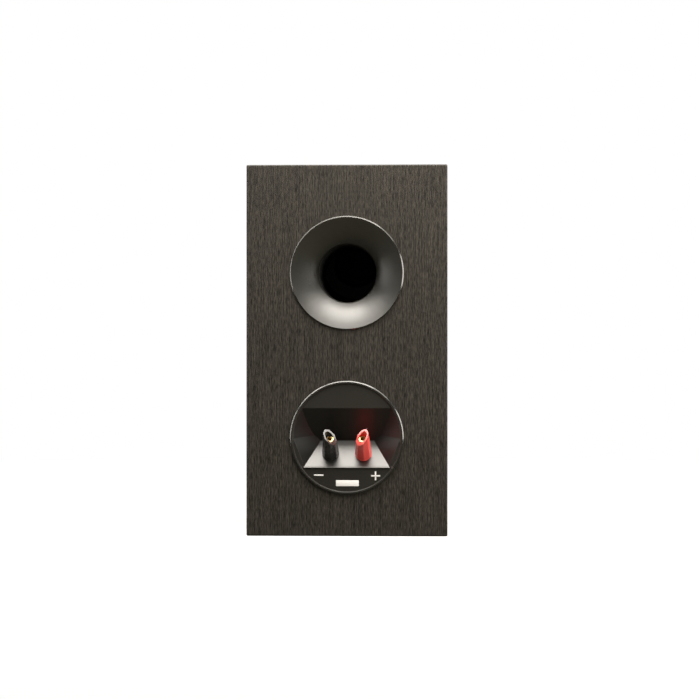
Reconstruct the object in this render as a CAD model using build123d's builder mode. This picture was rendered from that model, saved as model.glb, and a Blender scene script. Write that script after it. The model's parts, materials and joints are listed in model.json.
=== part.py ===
"""Two-way bookshelf speaker with a rear reflex port and screw terminals.

Millimetres, +Z up. The origin is the middle of the cabinet's underside. The drivers face -Y, the port
and the terminals face +Y.
"""

import os
from math import cos, radians, sin

from build123d import *

# Cabinet
CABINET_WIDTH = 168.0
CABINET_HEIGHT = 310.0
CABINET_DEPTH = 240.0
WALL = 15.0
BAFFLE_THICKNESS = 18.0
WRAP_EDGE_RADIUS = 1.2
BAFFLE_EDGE_RADIUS = 4.0
BRACE_HEIGHT = 180.0
BRACE_THICKNESS = 12.0
BRACE_RAIL = 24.0
LINING_THICKNESS = 8.0
LINING_MARGIN = 6.0

# Port
PORT_HEIGHT = 219.6
PORT_RIM_RADIUS = 47.6
PORT_PROUD = 1.6
PORT_RIM_BEVEL = 1.0
PORT_BORE_RADIUS = 24.2
BELL_RIM_SLOPE = 24.5
BELL_THROAT_SLOPE = 44.0
THROAT_ARC = 3.5
FLARE_WALL = 2.5
FLARE_HOLE_LAND = 1.7
FLARE_COLLAR = 6.0
TUBE_WALL = 2.5
TUBE_SOCKET = 12.0
TUBE_LENGTH = 110.0

# Terminal cup
CUP_HEIGHT = 82.0
CUP_RIM_RADIUS = 47.5
CUP_RIM_WIDTH = 2.8
CUP_PROUD = 2.0
CUP_RIM_BEVEL = 0.8
CUP_FACE_RECESS = 0.9
CUP_HOLE_LAND = 1.6
CUP_WALL = 2.4
CUP_COLLAR = 7.0
WELL_TOP = 24.9
WELL_BOTTOM = -25.8
WELL_FLOOR_RADIUS = 23.6
TRAY_SLOPE = 53.0
TRAY_DEEP_EDGE = -4.0
TRAY_RAISE = 1.2
TRAY_FRONT_WIDTH = 72.4
TRAY_DEEP_WIDTH = 45.0
TRAY_ROUND = 0.5
TRAY_CHEEK_LEAN = 50.0

# Binding posts
POST_SPACING = 27.4
POST_UP_TRAY = 14.0
STUD_RADIUS = 3.2
STUD_TOP = 22.3
STUD_TAIL = 5.0
STUD_FLANGE_RADIUS = 5.0
STUD_FLANGE = 1.5
SOCKET_RADIUS = 2.0
SOCKET_DEPTH = 14.0
WIRE_HOLE_RADIUS = 0.9
BASE_RADIUS = 7.0
BASE_THICKNESS = 1.2
CLAMP_WASHER = 1.0
INSERT_LENGTH = 7.0
INSERT_WALL = 1.3
KNOB_BASE_RADIUS = 7.2
KNOB_TOP_RADIUS = 4.9
KNOB_LENGTH = 34.0
KNOB_CORNER = 1.0
KNOB_SIDES = 8
KNOB_CUT_HEIGHT = 25.4
KNOB_CUT_SLOPE = 50.0
KNOB_MOUTH_RADIUS = 3.6
KNOB_SKIRT_GAP = 0.4
TAG_THICKNESS = 0.8
TAG_WIDTH = 5.0
TAG_LENGTH = 12.0
NUT_RADIUS = 5.6
NUT_THICKNESS = 4.5
NEGATIVE_KNOB_ANGLE = 160.0
POSITIVE_KNOB_ANGLE = 27.0

# Woofer
WOOFER_HEIGHT = 98.0
WOOFER_RADIUS = 73.0
WOOFER_FLANGE = 5.0
WOOFER_CUTOUT_RADIUS = 61.5
WOOFER_FIXING_RADIUS = 67.2
WOOFER_SCREWS = 6
BASKET_WALL = 3.0
BASKET_DEPTH = 44.0
BASKET_SPOKE = 12.0
SURROUND_EDGE_RADIUS = 61.0
SURROUND_LIP = 4.0
SURROUND_ROLL = 4.8
SURROUND_THICKNESS = 0.9
SURROUND_SEAT = 3.4
CONE_THICKNESS = 0.9
CONE_NECK_DEPTH = 26.0
CONE_BULGE = 1.4
DUST_CAP_RADIUS = 19.0
DUST_CAP_HEIGHT = 7.0
DUST_CAP_THICKNESS = 0.7
SPIDER_DEPTH = 31.0
SPIDER_RADIUS = 42.0
SPIDER_LIP = 4.0
SPIDER_THICKNESS = 0.5
SPIDER_WAVE = 0.9
SPIDER_WAVES = 3
POLE_RADIUS = 14.2
POLE_VENT_RADIUS = 5.0
POLE_GAP = 0.5
FORMER_THICKNESS = 0.3
WINDING_THICKNESS = 0.8
WINDING_LENGTH = 12.0
TOP_PLATE_RADIUS = 42.0
TOP_PLATE = 6.0
MAGNET_RADIUS = 45.0
MAGNET_BORE = 23.0
MAGNET_THICKNESS = 16.0
YOKE_PLATE = 6.0

# Tweeter
TWEETER_GAP_SHARE = 0.3
TWEETER_RADIUS = 52.0
TWEETER_PLATE = 4.0
TWEETER_HUB_RADIUS = 40.0
TWEETER_HUB_DEPTH = 9.0
WAVEGUIDE_RADIUS = 38.0
WAVEGUIDE_BULGE = 2.0
DOME_RADIUS = 12.7
DOME_HEIGHT = 5.0
DOME_THICKNESS = 0.4
DOME_ROLL = 1.3
DOME_LIP = 2.0
TWEETER_FIXING_RADIUS = 46.0
TWEETER_SCREWS = 4
TWEETER_POLE_RADIUS = 11.7
TWEETER_VENT_RADIUS = 4.0
TWEETER_WINDING_LENGTH = 3.0
TWEETER_TOP_PLATE = 4.0
TWEETER_MAGNET_RADIUS = 34.0
TWEETER_MAGNET_BORE = 18.0
TWEETER_MAGNET = 10.0
TWEETER_YOKE_RADIUS = 31.0
TWEETER_YOKE = 4.0
CHAMBER_RADIUS = 20.0
CHAMBER_DEPTH = 14.0
CHAMBER_WALL = 2.5

# Crossover on the floor of the cabinet
BOARD_SIDE_GAP = 6.0
BOARD_WIDTH = 80.0
BOARD_THICKNESS = 1.6
BOARD_Y = 30.0
BOARD_HOLE_INSET = 6.0
SPACER_HEIGHT = 6.0
SPACER_RADIUS = 3.5
BOBBIN_HEIGHT = 24.0
BOBBIN_RADIUS = 17.0
BOBBIN_CHEEK = 2.0
BOBBIN_CORE_RADIUS = 7.0
CAPACITOR_RADIUS = 8.0
CAPACITOR_LENGTH = 34.0
RESISTOR_LENGTH = 26.0
RESISTOR_SIDE = 9.0

# Fasteners, tabs, leads and clearances
GASKET = 1.0
SCREW_HEAD_RADIUS = 3.8
SCREW_HEAD = 2.4
SCREW_RADIUS = 2.0
SCREW_LENGTH = 12.0
SCREW_KEY_RADIUS = 1.6
TAB_WIDTH = 5.0
TAB_THICKNESS = 0.8
TAB_LENGTH = 8.0
TWEETER_TAB_GAP = 12.0
LEAD_RADIUS = 1.2
LEAD_BEND = 6.0
SEAT_FIT = 0.3
GLUE_FIT = 0.1
RUNNING_FIT = 0.05

FRONT = -CABINET_DEPTH / 2
BACK = CABINET_DEPTH / 2
JOINT_LINE = FRONT + BAFFLE_THICKNESS
INSIDE_BACK = BACK - WALL
INSIDE_HALF_WIDTH = CABINET_WIDTH / 2 - WALL
MIDDLE_HEIGHT = CABINET_HEIGHT / 2

# The tweeter takes its place in the space that the woofer leaves above it.
WOOFER_TOP = WOOFER_HEIGHT + WOOFER_RADIUS
SPARE_HEIGHT = CABINET_HEIGHT - WOOFER_TOP - 2 * TWEETER_RADIUS
TWEETER_HEIGHT = WOOFER_TOP + TWEETER_GAP_SHARE * SPARE_HEIGHT + TWEETER_RADIUS

# The board fits between the linings of the two side walls.
BOARD_LENGTH = 2 * (INSIDE_HALF_WIDTH - LINING_THICKNESS - BOARD_SIDE_GAP)

os.makedirs("parts", exist_ok=True)


def save(builder, name):
    """Label a finished piece and write it."""
    builder.part.label = name
    export_step(builder.part, f"parts/{name}.step")


def lengthwise(y, z, x=0.0):
    """Sketch plane through a front-to-back axis: sketch x is the radius, sketch y runs towards +Y."""
    return Plane(origin=(x, y, z), x_dir=(1, 0, 0), z_dir=(0, 0, 1))


def crosswise(y, z, x=0.0):
    """Sketch plane square to a front-to-back axis, facing +Y."""
    return Plane(origin=(x, y, z), x_dir=(1, 0, 0), z_dir=(0, 1, 0))


def turned_ring(plane, axis, inner, outer, start, end):
    """Plain ring turned about an axis that lies in the sketch plane."""
    with BuildPart() as ring:
        with BuildSketch(plane):
            with Locations(((inner + outer) / 2, (start + end) / 2)):
                Rectangle(outer - inner, end - start)
        revolve(axis=axis)
    return ring


# Cabinet

with BuildPart() as envelope:
    with BuildSketch(Plane.XY):
        with Locations((0, (JOINT_LINE + BACK) / 2)):
            Rectangle(CABINET_WIDTH, BACK - JOINT_LINE)
    extrude(amount=CABINET_HEIGHT)
    joint_edges = envelope.faces().sort_by(Axis.Y)[0].edges()
    fillet([e for e in envelope.edges() if e not in joint_edges], WRAP_EDGE_RADIUS)


def mitred_panel(face, length, width):
    """Wrap panel from its outer face inwards, mitred on both sides and at the back.

    The face looks out of the cabinet and its sketch x runs towards the back.
    """
    with BuildPart() as panel:
        with BuildSketch(face):
            Rectangle(length, width)
        with BuildSketch(face.offset(-WALL)):
            with Locations((-WALL / 2, 0)):
                Rectangle(length - WALL, width - 2 * WALL)
        loft(ruled=True)
        add(envelope.part, mode=Mode.INTERSECT)
    return panel


wrap_length = BACK - JOINT_LINE
wrap_middle = (BACK + JOINT_LINE) / 2
half_width = CABINET_WIDTH / 2
left_face = Plane(origin=(-half_width, wrap_middle, MIDDLE_HEIGHT), x_dir=(0, 1, 0), z_dir=(-1, 0, 0))
right_face = Plane(origin=(half_width, wrap_middle, MIDDLE_HEIGHT), x_dir=(0, 1, 0), z_dir=(1, 0, 0))
top_face = Plane(origin=(0, wrap_middle, CABINET_HEIGHT), x_dir=(0, 1, 0), z_dir=(0, 0, 1))
bottom_face = Plane(origin=(0, wrap_middle, 0), x_dir=(0, 1, 0), z_dir=(0, 0, -1))

left_side_panel = mitred_panel(left_face, wrap_length, CABINET_HEIGHT)
right_side_panel = mitred_panel(right_face, wrap_length, CABINET_HEIGHT)
top_panel = mitred_panel(top_face, wrap_length, CABINET_WIDTH)
bottom_panel = mitred_panel(bottom_face, wrap_length, CABINET_WIDTH)

# The board screws bite into the floor of the cabinet.
board_holes = [
    (sx * (BOARD_LENGTH / 2 - BOARD_HOLE_INSET), BOARD_Y + sy * (BOARD_WIDTH / 2 - BOARD_HOLE_INSET))
    for sx in (-1, 1)
    for sy in (-1, 1)
]
BOARD_UNDERSIDE = WALL + SPACER_HEIGHT
BOARD_TOP = BOARD_UNDERSIDE + BOARD_THICKNESS
board_screw_end = BOARD_TOP - SCREW_LENGTH

with BuildPart() as bottom_panel_bored:
    add(bottom_panel.part)
    with BuildSketch(Plane.XY.offset(WALL)):
        with Locations(board_holes):
            Circle(SCREW_RADIUS + RUNNING_FIT)
    extrude(amount=board_screw_end - WALL, mode=Mode.SUBTRACT)

port_hole_radius = PORT_RIM_RADIUS - FLARE_HOLE_LAND
cup_hole_radius = CUP_RIM_RADIUS - CUP_HOLE_LAND

with BuildPart() as back_panel:
    with BuildSketch(crosswise(BACK, MIDDLE_HEIGHT)):
        Rectangle(CABINET_WIDTH, CABINET_HEIGHT)
    with BuildSketch(crosswise(INSIDE_BACK, MIDDLE_HEIGHT)):
        Rectangle(CABINET_WIDTH - 2 * WALL, CABINET_HEIGHT - 2 * WALL)
    loft(ruled=True)
    add(envelope.part, mode=Mode.INTERSECT)
    with BuildSketch(crosswise(BACK, PORT_HEIGHT)):
        Circle(port_hole_radius)
    with BuildSketch(crosswise(BACK, CUP_HEIGHT)):
        Circle(cup_hole_radius)
    extrude(amount=-WALL, mode=Mode.SUBTRACT)

woofer_rebate = WOOFER_FLANGE + GASKET
tweeter_rebate = TWEETER_PLATE + GASKET
woofer_screw_end = SCREW_LENGTH + SCREW_HEAD
tweeter_screw_end = SCREW_LENGTH + SCREW_HEAD
tweeter_cutout_radius = TWEETER_HUB_RADIUS + 2 * SEAT_FIT

with BuildPart() as front_baffle:
    with BuildSketch(crosswise(FRONT, MIDDLE_HEIGHT)):
        Rectangle(CABINET_WIDTH, CABINET_HEIGHT)
    extrude(amount=BAFFLE_THICKNESS)
    fillet(front_baffle.edges().filter_by(Axis.Y), WRAP_EDGE_RADIUS)
    fillet(front_baffle.faces().sort_by(Axis.Y)[0].edges(), BAFFLE_EDGE_RADIUS)
    with BuildSketch(crosswise(FRONT, WOOFER_HEIGHT)):
        Circle(WOOFER_RADIUS + SEAT_FIT)
    extrude(amount=woofer_rebate, mode=Mode.SUBTRACT)
    with BuildSketch(crosswise(FRONT, TWEETER_HEIGHT)):
        Circle(TWEETER_RADIUS + SEAT_FIT)
    extrude(amount=tweeter_rebate, mode=Mode.SUBTRACT)
    with BuildSketch(crosswise(FRONT, WOOFER_HEIGHT)):
        Circle(WOOFER_CUTOUT_RADIUS)
    with BuildSketch(crosswise(FRONT, TWEETER_HEIGHT)):
        Circle(tweeter_cutout_radius)
    extrude(amount=BAFFLE_THICKNESS, mode=Mode.SUBTRACT)
    with BuildSketch(crosswise(FRONT, WOOFER_HEIGHT)):
        with PolarLocations(WOOFER_FIXING_RADIUS, WOOFER_SCREWS):
            Circle(SCREW_RADIUS + RUNNING_FIT)
    extrude(amount=woofer_screw_end, mode=Mode.SUBTRACT)
    with BuildSketch(crosswise(FRONT, TWEETER_HEIGHT)):
        with PolarLocations(TWEETER_FIXING_RADIUS, TWEETER_SCREWS, start_angle=45):
            Circle(SCREW_RADIUS + RUNNING_FIT)
    extrude(amount=tweeter_screw_end, mode=Mode.SUBTRACT)

inside_middle = (JOINT_LINE + INSIDE_BACK) / 2

with BuildPart() as window_brace:
    with BuildSketch(Plane.XY.offset(BRACE_HEIGHT)):
        with Locations((0, inside_middle)):
            Rectangle(2 * INSIDE_HALF_WIDTH, INSIDE_BACK - JOINT_LINE)
            RectangleRounded(
                2 * (INSIDE_HALF_WIDTH - BRACE_RAIL),
                INSIDE_BACK - JOINT_LINE - 2 * BRACE_RAIL,
                BRACE_RAIL / 2,
                mode=Mode.SUBTRACT,
            )
    extrude(amount=BRACE_THICKNESS / 2, both=True)

# Felt on both side walls, below and above the brace.
lining_length = INSIDE_BACK - JOINT_LINE - 2 * LINING_MARGIN
lining_middle = INSIDE_HALF_WIDTH - LINING_THICKNESS / 2
lining_spans = [
    (WALL + LINING_MARGIN, BRACE_HEIGHT - BRACE_THICKNESS / 2 - LINING_MARGIN),
    (BRACE_HEIGHT + BRACE_THICKNESS / 2 + LINING_MARGIN, CABINET_HEIGHT - WALL - LINING_MARGIN),
]

with BuildPart() as felt_lining:
    for low, high in lining_spans:
        with BuildSketch(Plane.XY.offset(low)):
            with Locations((-lining_middle, inside_middle), (lining_middle, inside_middle)):
                Rectangle(LINING_THICKNESS, lining_length)
        extrude(amount=high - low)

# Port: a bell-mouthed flare glued into the back panel, with a tube in its socket

port_profile = lengthwise(BACK, PORT_HEIGHT)
port_axis = Axis((0, BACK, PORT_HEIGHT), (0, 1, 0))
bell_radius = PORT_RIM_RADIUS - PORT_RIM_BEVEL
collar_radius = port_hole_radius - GLUE_FIT
rim_turn = radians(BELL_RIM_SLOPE)
throat_turn = radians(BELL_THROAT_SLOPE)
bell_arc = (bell_radius - PORT_BORE_RADIUS - THROAT_ARC * (1 - sin(throat_turn))) / (
    sin(throat_turn) - sin(rim_turn)
)
throat = PORT_PROUD - THROAT_ARC * cos(throat_turn) - bell_arc * (cos(rim_turn) - cos(throat_turn))
throat_center = (PORT_BORE_RADIUS + THROAT_ARC, throat)
bell_center = (
    throat_center[0] + (bell_arc - THROAT_ARC) * sin(throat_turn),
    throat_center[1] - (bell_arc - THROAT_ARC) * cos(throat_turn),
)
tube_seat = throat - FLARE_WALL
socket_radius = PORT_BORE_RADIUS + TUBE_WALL + GLUE_FIT


def bell_curve(depth):
    """The bell's two tangent arcs, at a depth under its surface, from the rim to the throat."""
    bell_turn = BELL_THROAT_SLOPE - BELL_RIM_SLOPE
    outer = CenterArc(bell_center, bell_arc - depth, 90 + BELL_RIM_SLOPE, bell_turn)
    inner = CenterArc(throat_center, THROAT_ARC - depth, 90 + BELL_THROAT_SLOPE, 90 - BELL_THROAT_SLOPE)
    return outer @ 0, inner @ 1


with BuildPart() as port_flare:
    with BuildSketch(port_profile):
        with BuildLine():
            rim_top, throat_top = bell_curve(0)
            rim_under, throat_under = bell_curve(FLARE_WALL)
            Line(rim_top, rim_under)
            Line(throat_top, throat_under)
        make_face()
        with Locations((collar_radius, 0)):
            Rectangle(PORT_RIM_RADIUS, -throat, align=(Align.MIN, Align.MAX), mode=Mode.SUBTRACT)
        # Land on the panel, locating collar in its hole, and the socket for the tube
        with Locations((collar_radius - FLARE_WALL, 0)):
            Rectangle(
                PORT_RIM_RADIUS - collar_radius + FLARE_WALL, PORT_PROUD, align=(Align.MIN, Align.MIN)
            )
            Rectangle(FLARE_WALL, FLARE_COLLAR, align=(Align.MIN, Align.MAX))
        with Locations((PORT_BORE_RADIUS, throat)):
            socket_wall = socket_radius + FLARE_WALL - PORT_BORE_RADIUS
            Rectangle(socket_wall, FLARE_WALL, align=(Align.MIN, Align.MAX))
        with Locations((socket_radius, tube_seat)):
            Rectangle(FLARE_WALL, TUBE_SOCKET, align=(Align.MIN, Align.MAX))
        # Air in front of the bell
        with BuildLine():
            rim_top, throat_top = bell_curve(0)
            Polyline(rim_top, (bell_radius, 2 * PORT_PROUD), (0, 2 * PORT_PROUD), (0, throat), throat_top)
        make_face(mode=Mode.SUBTRACT)
    revolve(axis=port_axis)
    front_edges = port_flare.edges().filter_by(GeomType.CIRCLE).group_by(Axis.Y)[-1]
    chamfer(front_edges.sort_by(SortBy.RADIUS)[-1], PORT_RIM_BEVEL - RUNNING_FIT)

with BuildPart() as port_tube:
    with BuildSketch(port_profile):
        with Locations((PORT_BORE_RADIUS + TUBE_WALL / 2, tube_seat - TUBE_LENGTH / 2)):
            tube_section = Rectangle(TUBE_WALL, TUBE_LENGTH)
        fillet(tube_section.vertices().group_by(Axis.Y)[0], TUBE_WALL / 3)
    revolve(axis=port_axis)

# Terminal cup: a rim and two label faces around a round well with a sloping tray

cup_profile = lengthwise(BACK, CUP_HEIGHT)
cup_side = Plane(origin=(0, BACK, CUP_HEIGHT), x_dir=(0, 1, 0), z_dir=(1, 0, 0))
cup_axis = Axis((0, BACK, CUP_HEIGHT), (0, 1, 0))
cup_face = CUP_PROUD - CUP_FACE_RECESS
well_mouth_radius = CUP_RIM_RADIUS - CUP_RIM_WIDTH
cup_collar_radius = cup_hole_radius - GLUE_FIT
slope = radians(TRAY_SLOPE)
tray_run = (TRAY_DEEP_EDGE - WELL_BOTTOM) / sin(slope)
well_depth = cup_face - tray_run * cos(slope)
well_front = (cup_face, WELL_BOTTOM)
well_crease = (well_depth, TRAY_DEEP_EDGE)
well_brow = (cup_face, WELL_TOP)


def bowl(thickness):
    """Solid bowl of the well, grown outwards by a wall thickness."""
    mouth_point = (well_mouth_radius + thickness, cup_face)
    floor_point = (WELL_FLOOR_RADIUS + thickness, well_depth - thickness)
    with BuildPart() as body:
        with BuildSketch(cup_profile):
            with BuildLine():
                Polyline(mouth_point, floor_point, (0, floor_point[1]), (0, cup_face), close=True)
            make_face()
        revolve(axis=cup_axis)
        with BuildSketch(cup_side):
            with BuildLine():
                Polyline(well_front, well_crease, well_brow, close=True)
            make_face()
            offset(amount=thickness, kind=Kind.INTERSECTION)
        extrude(amount=2 * CUP_RIM_RADIUS, both=True, mode=Mode.INTERSECT)
    return body


tray_front = Vector(0, BACK + cup_face, CUP_HEIGHT + WELL_BOTTOM)
tray_normal = Vector(0, sin(slope), cos(slope))
tray_plane = Plane(origin=tray_front, x_dir=(1, 0, 0), z_dir=tray_normal)


def tray_outline(height, spare):
    """Straight-sided outline of the tray, at a height over its plane and run on at its deep end."""
    narrowing = (TRAY_FRONT_WIDTH - TRAY_DEEP_WIDTH) / tray_run
    deep_width = TRAY_DEEP_WIDTH - narrowing * spare
    with BuildSketch(tray_plane.offset(height)) as outline:
        with BuildLine():
            Polyline(
                (-TRAY_FRONT_WIDTH / 2, 0),
                (TRAY_FRONT_WIDTH / 2, 0),
                (deep_width / 2, -tray_run - spare),
                (-deep_width / 2, -tray_run - spare),
                close=True,
            )
        make_face()
    return outline.sketch


well_wall = bowl(CUP_WALL)

with BuildPart() as well:
    add(bowl(0.0).part)
    # Cheeks lean out from the tray's straight sides to the bowl.
    extrude(
        tray_outline(TRAY_RAISE, 2 * TRAY_RAISE),
        amount=WELL_TOP - WELL_BOTTOM,
        taper=-TRAY_CHEEK_LEAN,
        mode=Mode.INTERSECT,
    )

post_origin = tray_front + Vector(0, -cos(slope), sin(slope)) * POST_UP_TRAY + tray_normal * TRAY_RAISE
NEGATIVE_X = POST_SPACING / 2
POSITIVE_X = -POST_SPACING / 2


def post_plane(x):
    """Plane square to a binding post on the tray: its sketch y runs down the tray."""
    return Plane(origin=post_origin + Vector(x, 0, 0), x_dir=(1, 0, 0), z_dir=tray_normal)


def post_profile(x):
    """Plane through a binding post: sketch x is the radius, sketch y is the height above the tray."""
    return Plane(origin=post_origin + Vector(x, 0, 0), x_dir=(1, 0, 0), z_dir=(0, -cos(slope), sin(slope)))


def post_axis(x):
    return Axis(post_origin + Vector(x, 0, 0), tray_normal)


with BuildPart() as terminal_cup:
    add(well_wall.part)
    with BuildSketch(cup_profile):
        Rectangle(cup_collar_radius, CUP_WALL, align=(Align.MIN, Align.MAX))
        Rectangle(CUP_RIM_RADIUS, CUP_PROUD, align=(Align.MIN, Align.MIN))
        with Locations((0, cup_face)):
            Rectangle(well_mouth_radius, CUP_PROUD, align=(Align.MIN, Align.MIN), mode=Mode.SUBTRACT)
        with Locations((cup_collar_radius - CUP_WALL, 0)):
            Rectangle(CUP_WALL, CUP_COLLAR, align=(Align.MIN, Align.MAX))
    revolve(axis=cup_axis)
    # The wall of the well ends at the panel's hole.
    with BuildSketch(crosswise(BACK, CUP_HEIGHT)):
        Circle(2 * CUP_RIM_RADIUS)
        Circle(cup_collar_radius, mode=Mode.SUBTRACT)
    extrude(amount=-CABINET_DEPTH, mode=Mode.SUBTRACT)
    add(well.part, mode=Mode.SUBTRACT)
    front_edges = terminal_cup.edges().filter_by(GeomType.CIRCLE).group_by(Axis.Y)[-1]
    chamfer(front_edges, CUP_RIM_BEVEL)
    # Raised tray for the posts, with a rounded lip at the front
    extrude(tray_outline(0.0, 0.0), amount=TRAY_RAISE)
    raised = terminal_cup.faces().filter_by(Plane(tray_plane.origin, z_dir=tray_normal)).sort_by(
        Axis(tray_front, tray_normal)
    )[-1]
    fillet(raised.edges().sort_by(Axis.Z)[0], TRAY_ROUND)
    for x in (NEGATIVE_X, POSITIVE_X):
        with BuildSketch(post_plane(x)):
            Circle(STUD_RADIUS + GLUE_FIT)
        extrude(amount=-TRAY_RAISE - 2 * CUP_WALL, mode=Mode.SUBTRACT)

# Binding posts

tray_back = -TRAY_RAISE - CUP_WALL
tag_back = tray_back - TAG_THICKNESS
nut_back = tag_back - NUT_THICKNESS
clamp_seat = BASE_THICKNESS + STUD_FLANGE
washer_top = clamp_seat + CLAMP_WASHER
insert_start = washer_top + RUNNING_FIT
shoulder = washer_top + SEAT_FIT
insert_end = insert_start + INSERT_LENGTH
insert_radius = STUD_RADIUS + RUNNING_FIT + INSERT_WALL
knob_start = BASE_THICKNESS + KNOB_SKIRT_GAP
wire_hole_height = (clamp_seat + STUD_TOP - SOCKET_DEPTH) / 2


def post_base(x):
    with BuildPart() as base:
        with BuildSketch(post_plane(x)):
            Circle(BASE_RADIUS)
            Circle(STUD_RADIUS + GLUE_FIT, mode=Mode.SUBTRACT)
        extrude(amount=BASE_THICKNESS)
        fillet(base.faces().sort_by(post_axis(x))[-1].outer_wire().edges(), BASE_THICKNESS / 3)
    return base


def stud(x):
    """Metal post: thread through the tray, clamping flange, plug socket and cross hole for bare wire."""
    with BuildPart() as metal:
        with BuildSketch(post_profile(x)):
            with Locations((0, nut_back - STUD_TAIL)):
                Rectangle(
                    STUD_RADIUS, STUD_TOP - nut_back + STUD_TAIL, align=(Align.MIN, Align.MIN)
                )
            with Locations((0, BASE_THICKNESS)):
                Rectangle(STUD_FLANGE_RADIUS, STUD_FLANGE, align=(Align.MIN, Align.MIN))
            with Locations((0, STUD_TOP)):
                Rectangle(SOCKET_RADIUS, SOCKET_DEPTH, align=(Align.MIN, Align.MAX), mode=Mode.SUBTRACT)
        revolve(axis=post_axis(x))
        with BuildSketch(post_profile(x)):
            with Locations((0, wire_hole_height)):
                Circle(WIRE_HOLE_RADIUS)
        extrude(amount=2 * STUD_RADIUS, both=True, mode=Mode.SUBTRACT)
    return metal


def solder_tag(x):
    with BuildPart() as tag:
        with BuildSketch(post_plane(x).offset(tag_back)):
            Circle(NUT_RADIUS)
            with Locations((0, TAG_WIDTH / 2 - NUT_RADIUS)):
                Rectangle(TAG_WIDTH, TAG_LENGTH, align=(Align.CENTER, Align.MAX))
            Circle(STUD_RADIUS + GLUE_FIT, mode=Mode.SUBTRACT)
        extrude(amount=TAG_THICKNESS)
    return tag


def post_nut(x):
    with BuildPart() as nut:
        with BuildSketch(post_plane(x).offset(nut_back)):
            RegularPolygon(NUT_RADIUS, 6)
            Circle(STUD_RADIUS + GLUE_FIT, mode=Mode.SUBTRACT)
        extrude(amount=NUT_THICKNESS)
    return nut


def clamp_washer(x):
    return turned_ring(
        post_profile(x), post_axis(x), STUD_RADIUS + RUNNING_FIT, STUD_FLANGE_RADIUS, clamp_seat, washer_top
    )


def knob_insert(x):
    return turned_ring(
        post_profile(x), post_axis(x), STUD_RADIUS + RUNNING_FIT, insert_radius, insert_start, insert_end
    )


def knob(x, angle):
    """Tapered many-sided cap with a slanted cut whose low side points to an angle around the post."""
    foot_plane = post_plane(x)
    low_side = foot_plane.x_dir * cos(radians(angle)) + foot_plane.y_dir * sin(radians(angle))
    cap_plane = Plane(origin=foot_plane.origin, x_dir=low_side, z_dir=tray_normal)
    tilt = radians(KNOB_CUT_SLOPE)
    cut = Plane(
        origin=foot_plane.origin + tray_normal * KNOB_CUT_HEIGHT,
        z_dir=low_side * sin(tilt) + tray_normal * cos(tilt),
    )
    with BuildPart() as cap:
        with BuildSketch(cap_plane.offset(knob_start)) as foot:
            RegularPolygon(KNOB_BASE_RADIUS, KNOB_SIDES, rotation=180 / KNOB_SIDES)
            fillet(foot.vertices(), KNOB_CORNER)
        with BuildSketch(cap_plane.offset(KNOB_LENGTH)) as crown:
            RegularPolygon(KNOB_TOP_RADIUS, KNOB_SIDES, rotation=180 / KNOB_SIDES)
            fillet(crown.vertices(), KNOB_CORNER)
        loft(ruled=True)
        split(bisect_by=cut, keep=Keep.BOTTOM)
        with BuildSketch(post_profile(x)):
            with Locations((0, knob_start)):
                Rectangle(
                    STUD_FLANGE_RADIUS + KNOB_SKIRT_GAP,
                    shoulder - knob_start,
                    align=(Align.MIN, Align.MIN),
                )
            with Locations((0, shoulder)):
                Rectangle(insert_radius, insert_end - shoulder, align=(Align.MIN, Align.MIN))
            with Locations((0, insert_end)):
                Rectangle(KNOB_MOUTH_RADIUS, KNOB_LENGTH, align=(Align.MIN, Align.MIN))
        revolve(axis=post_axis(x), mode=Mode.SUBTRACT)
    return cap


# Woofer, measured inwards from the face of the baffle

woofer_profile = lengthwise(FRONT, WOOFER_HEIGHT)
woofer_axis = Axis((0, FRONT, WOOFER_HEIGHT), (0, 1, 0))
roll_radius = SURROUND_EDGE_RADIUS - SURROUND_LIP - SURROUND_ROLL
cone_edge_radius = roll_radius - SURROUND_ROLL
seat_radius = SURROUND_EDGE_RADIUS + SEAT_FIT
ledge_radius = SURROUND_EDGE_RADIUS - SURROUND_LIP
former_inner = POLE_RADIUS + POLE_GAP
former_outer = former_inner + FORMER_THICKNESS
winding_outer = former_outer + WINDING_THICKNESS
top_plate_bore = winding_outer + POLE_GAP
spider_shelf = SPIDER_DEPTH + SPIDER_THICKNESS
neck_radius = SPIDER_RADIUS - SPIDER_LIP
top_plate_back = BASKET_DEPTH + TOP_PLATE
magnet_back = top_plate_back + MAGNET_THICKNESS
yoke_back = magnet_back + YOKE_PLATE
winding_start = BASKET_DEPTH + TOP_PLATE / 2 - WINDING_LENGTH / 2

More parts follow.
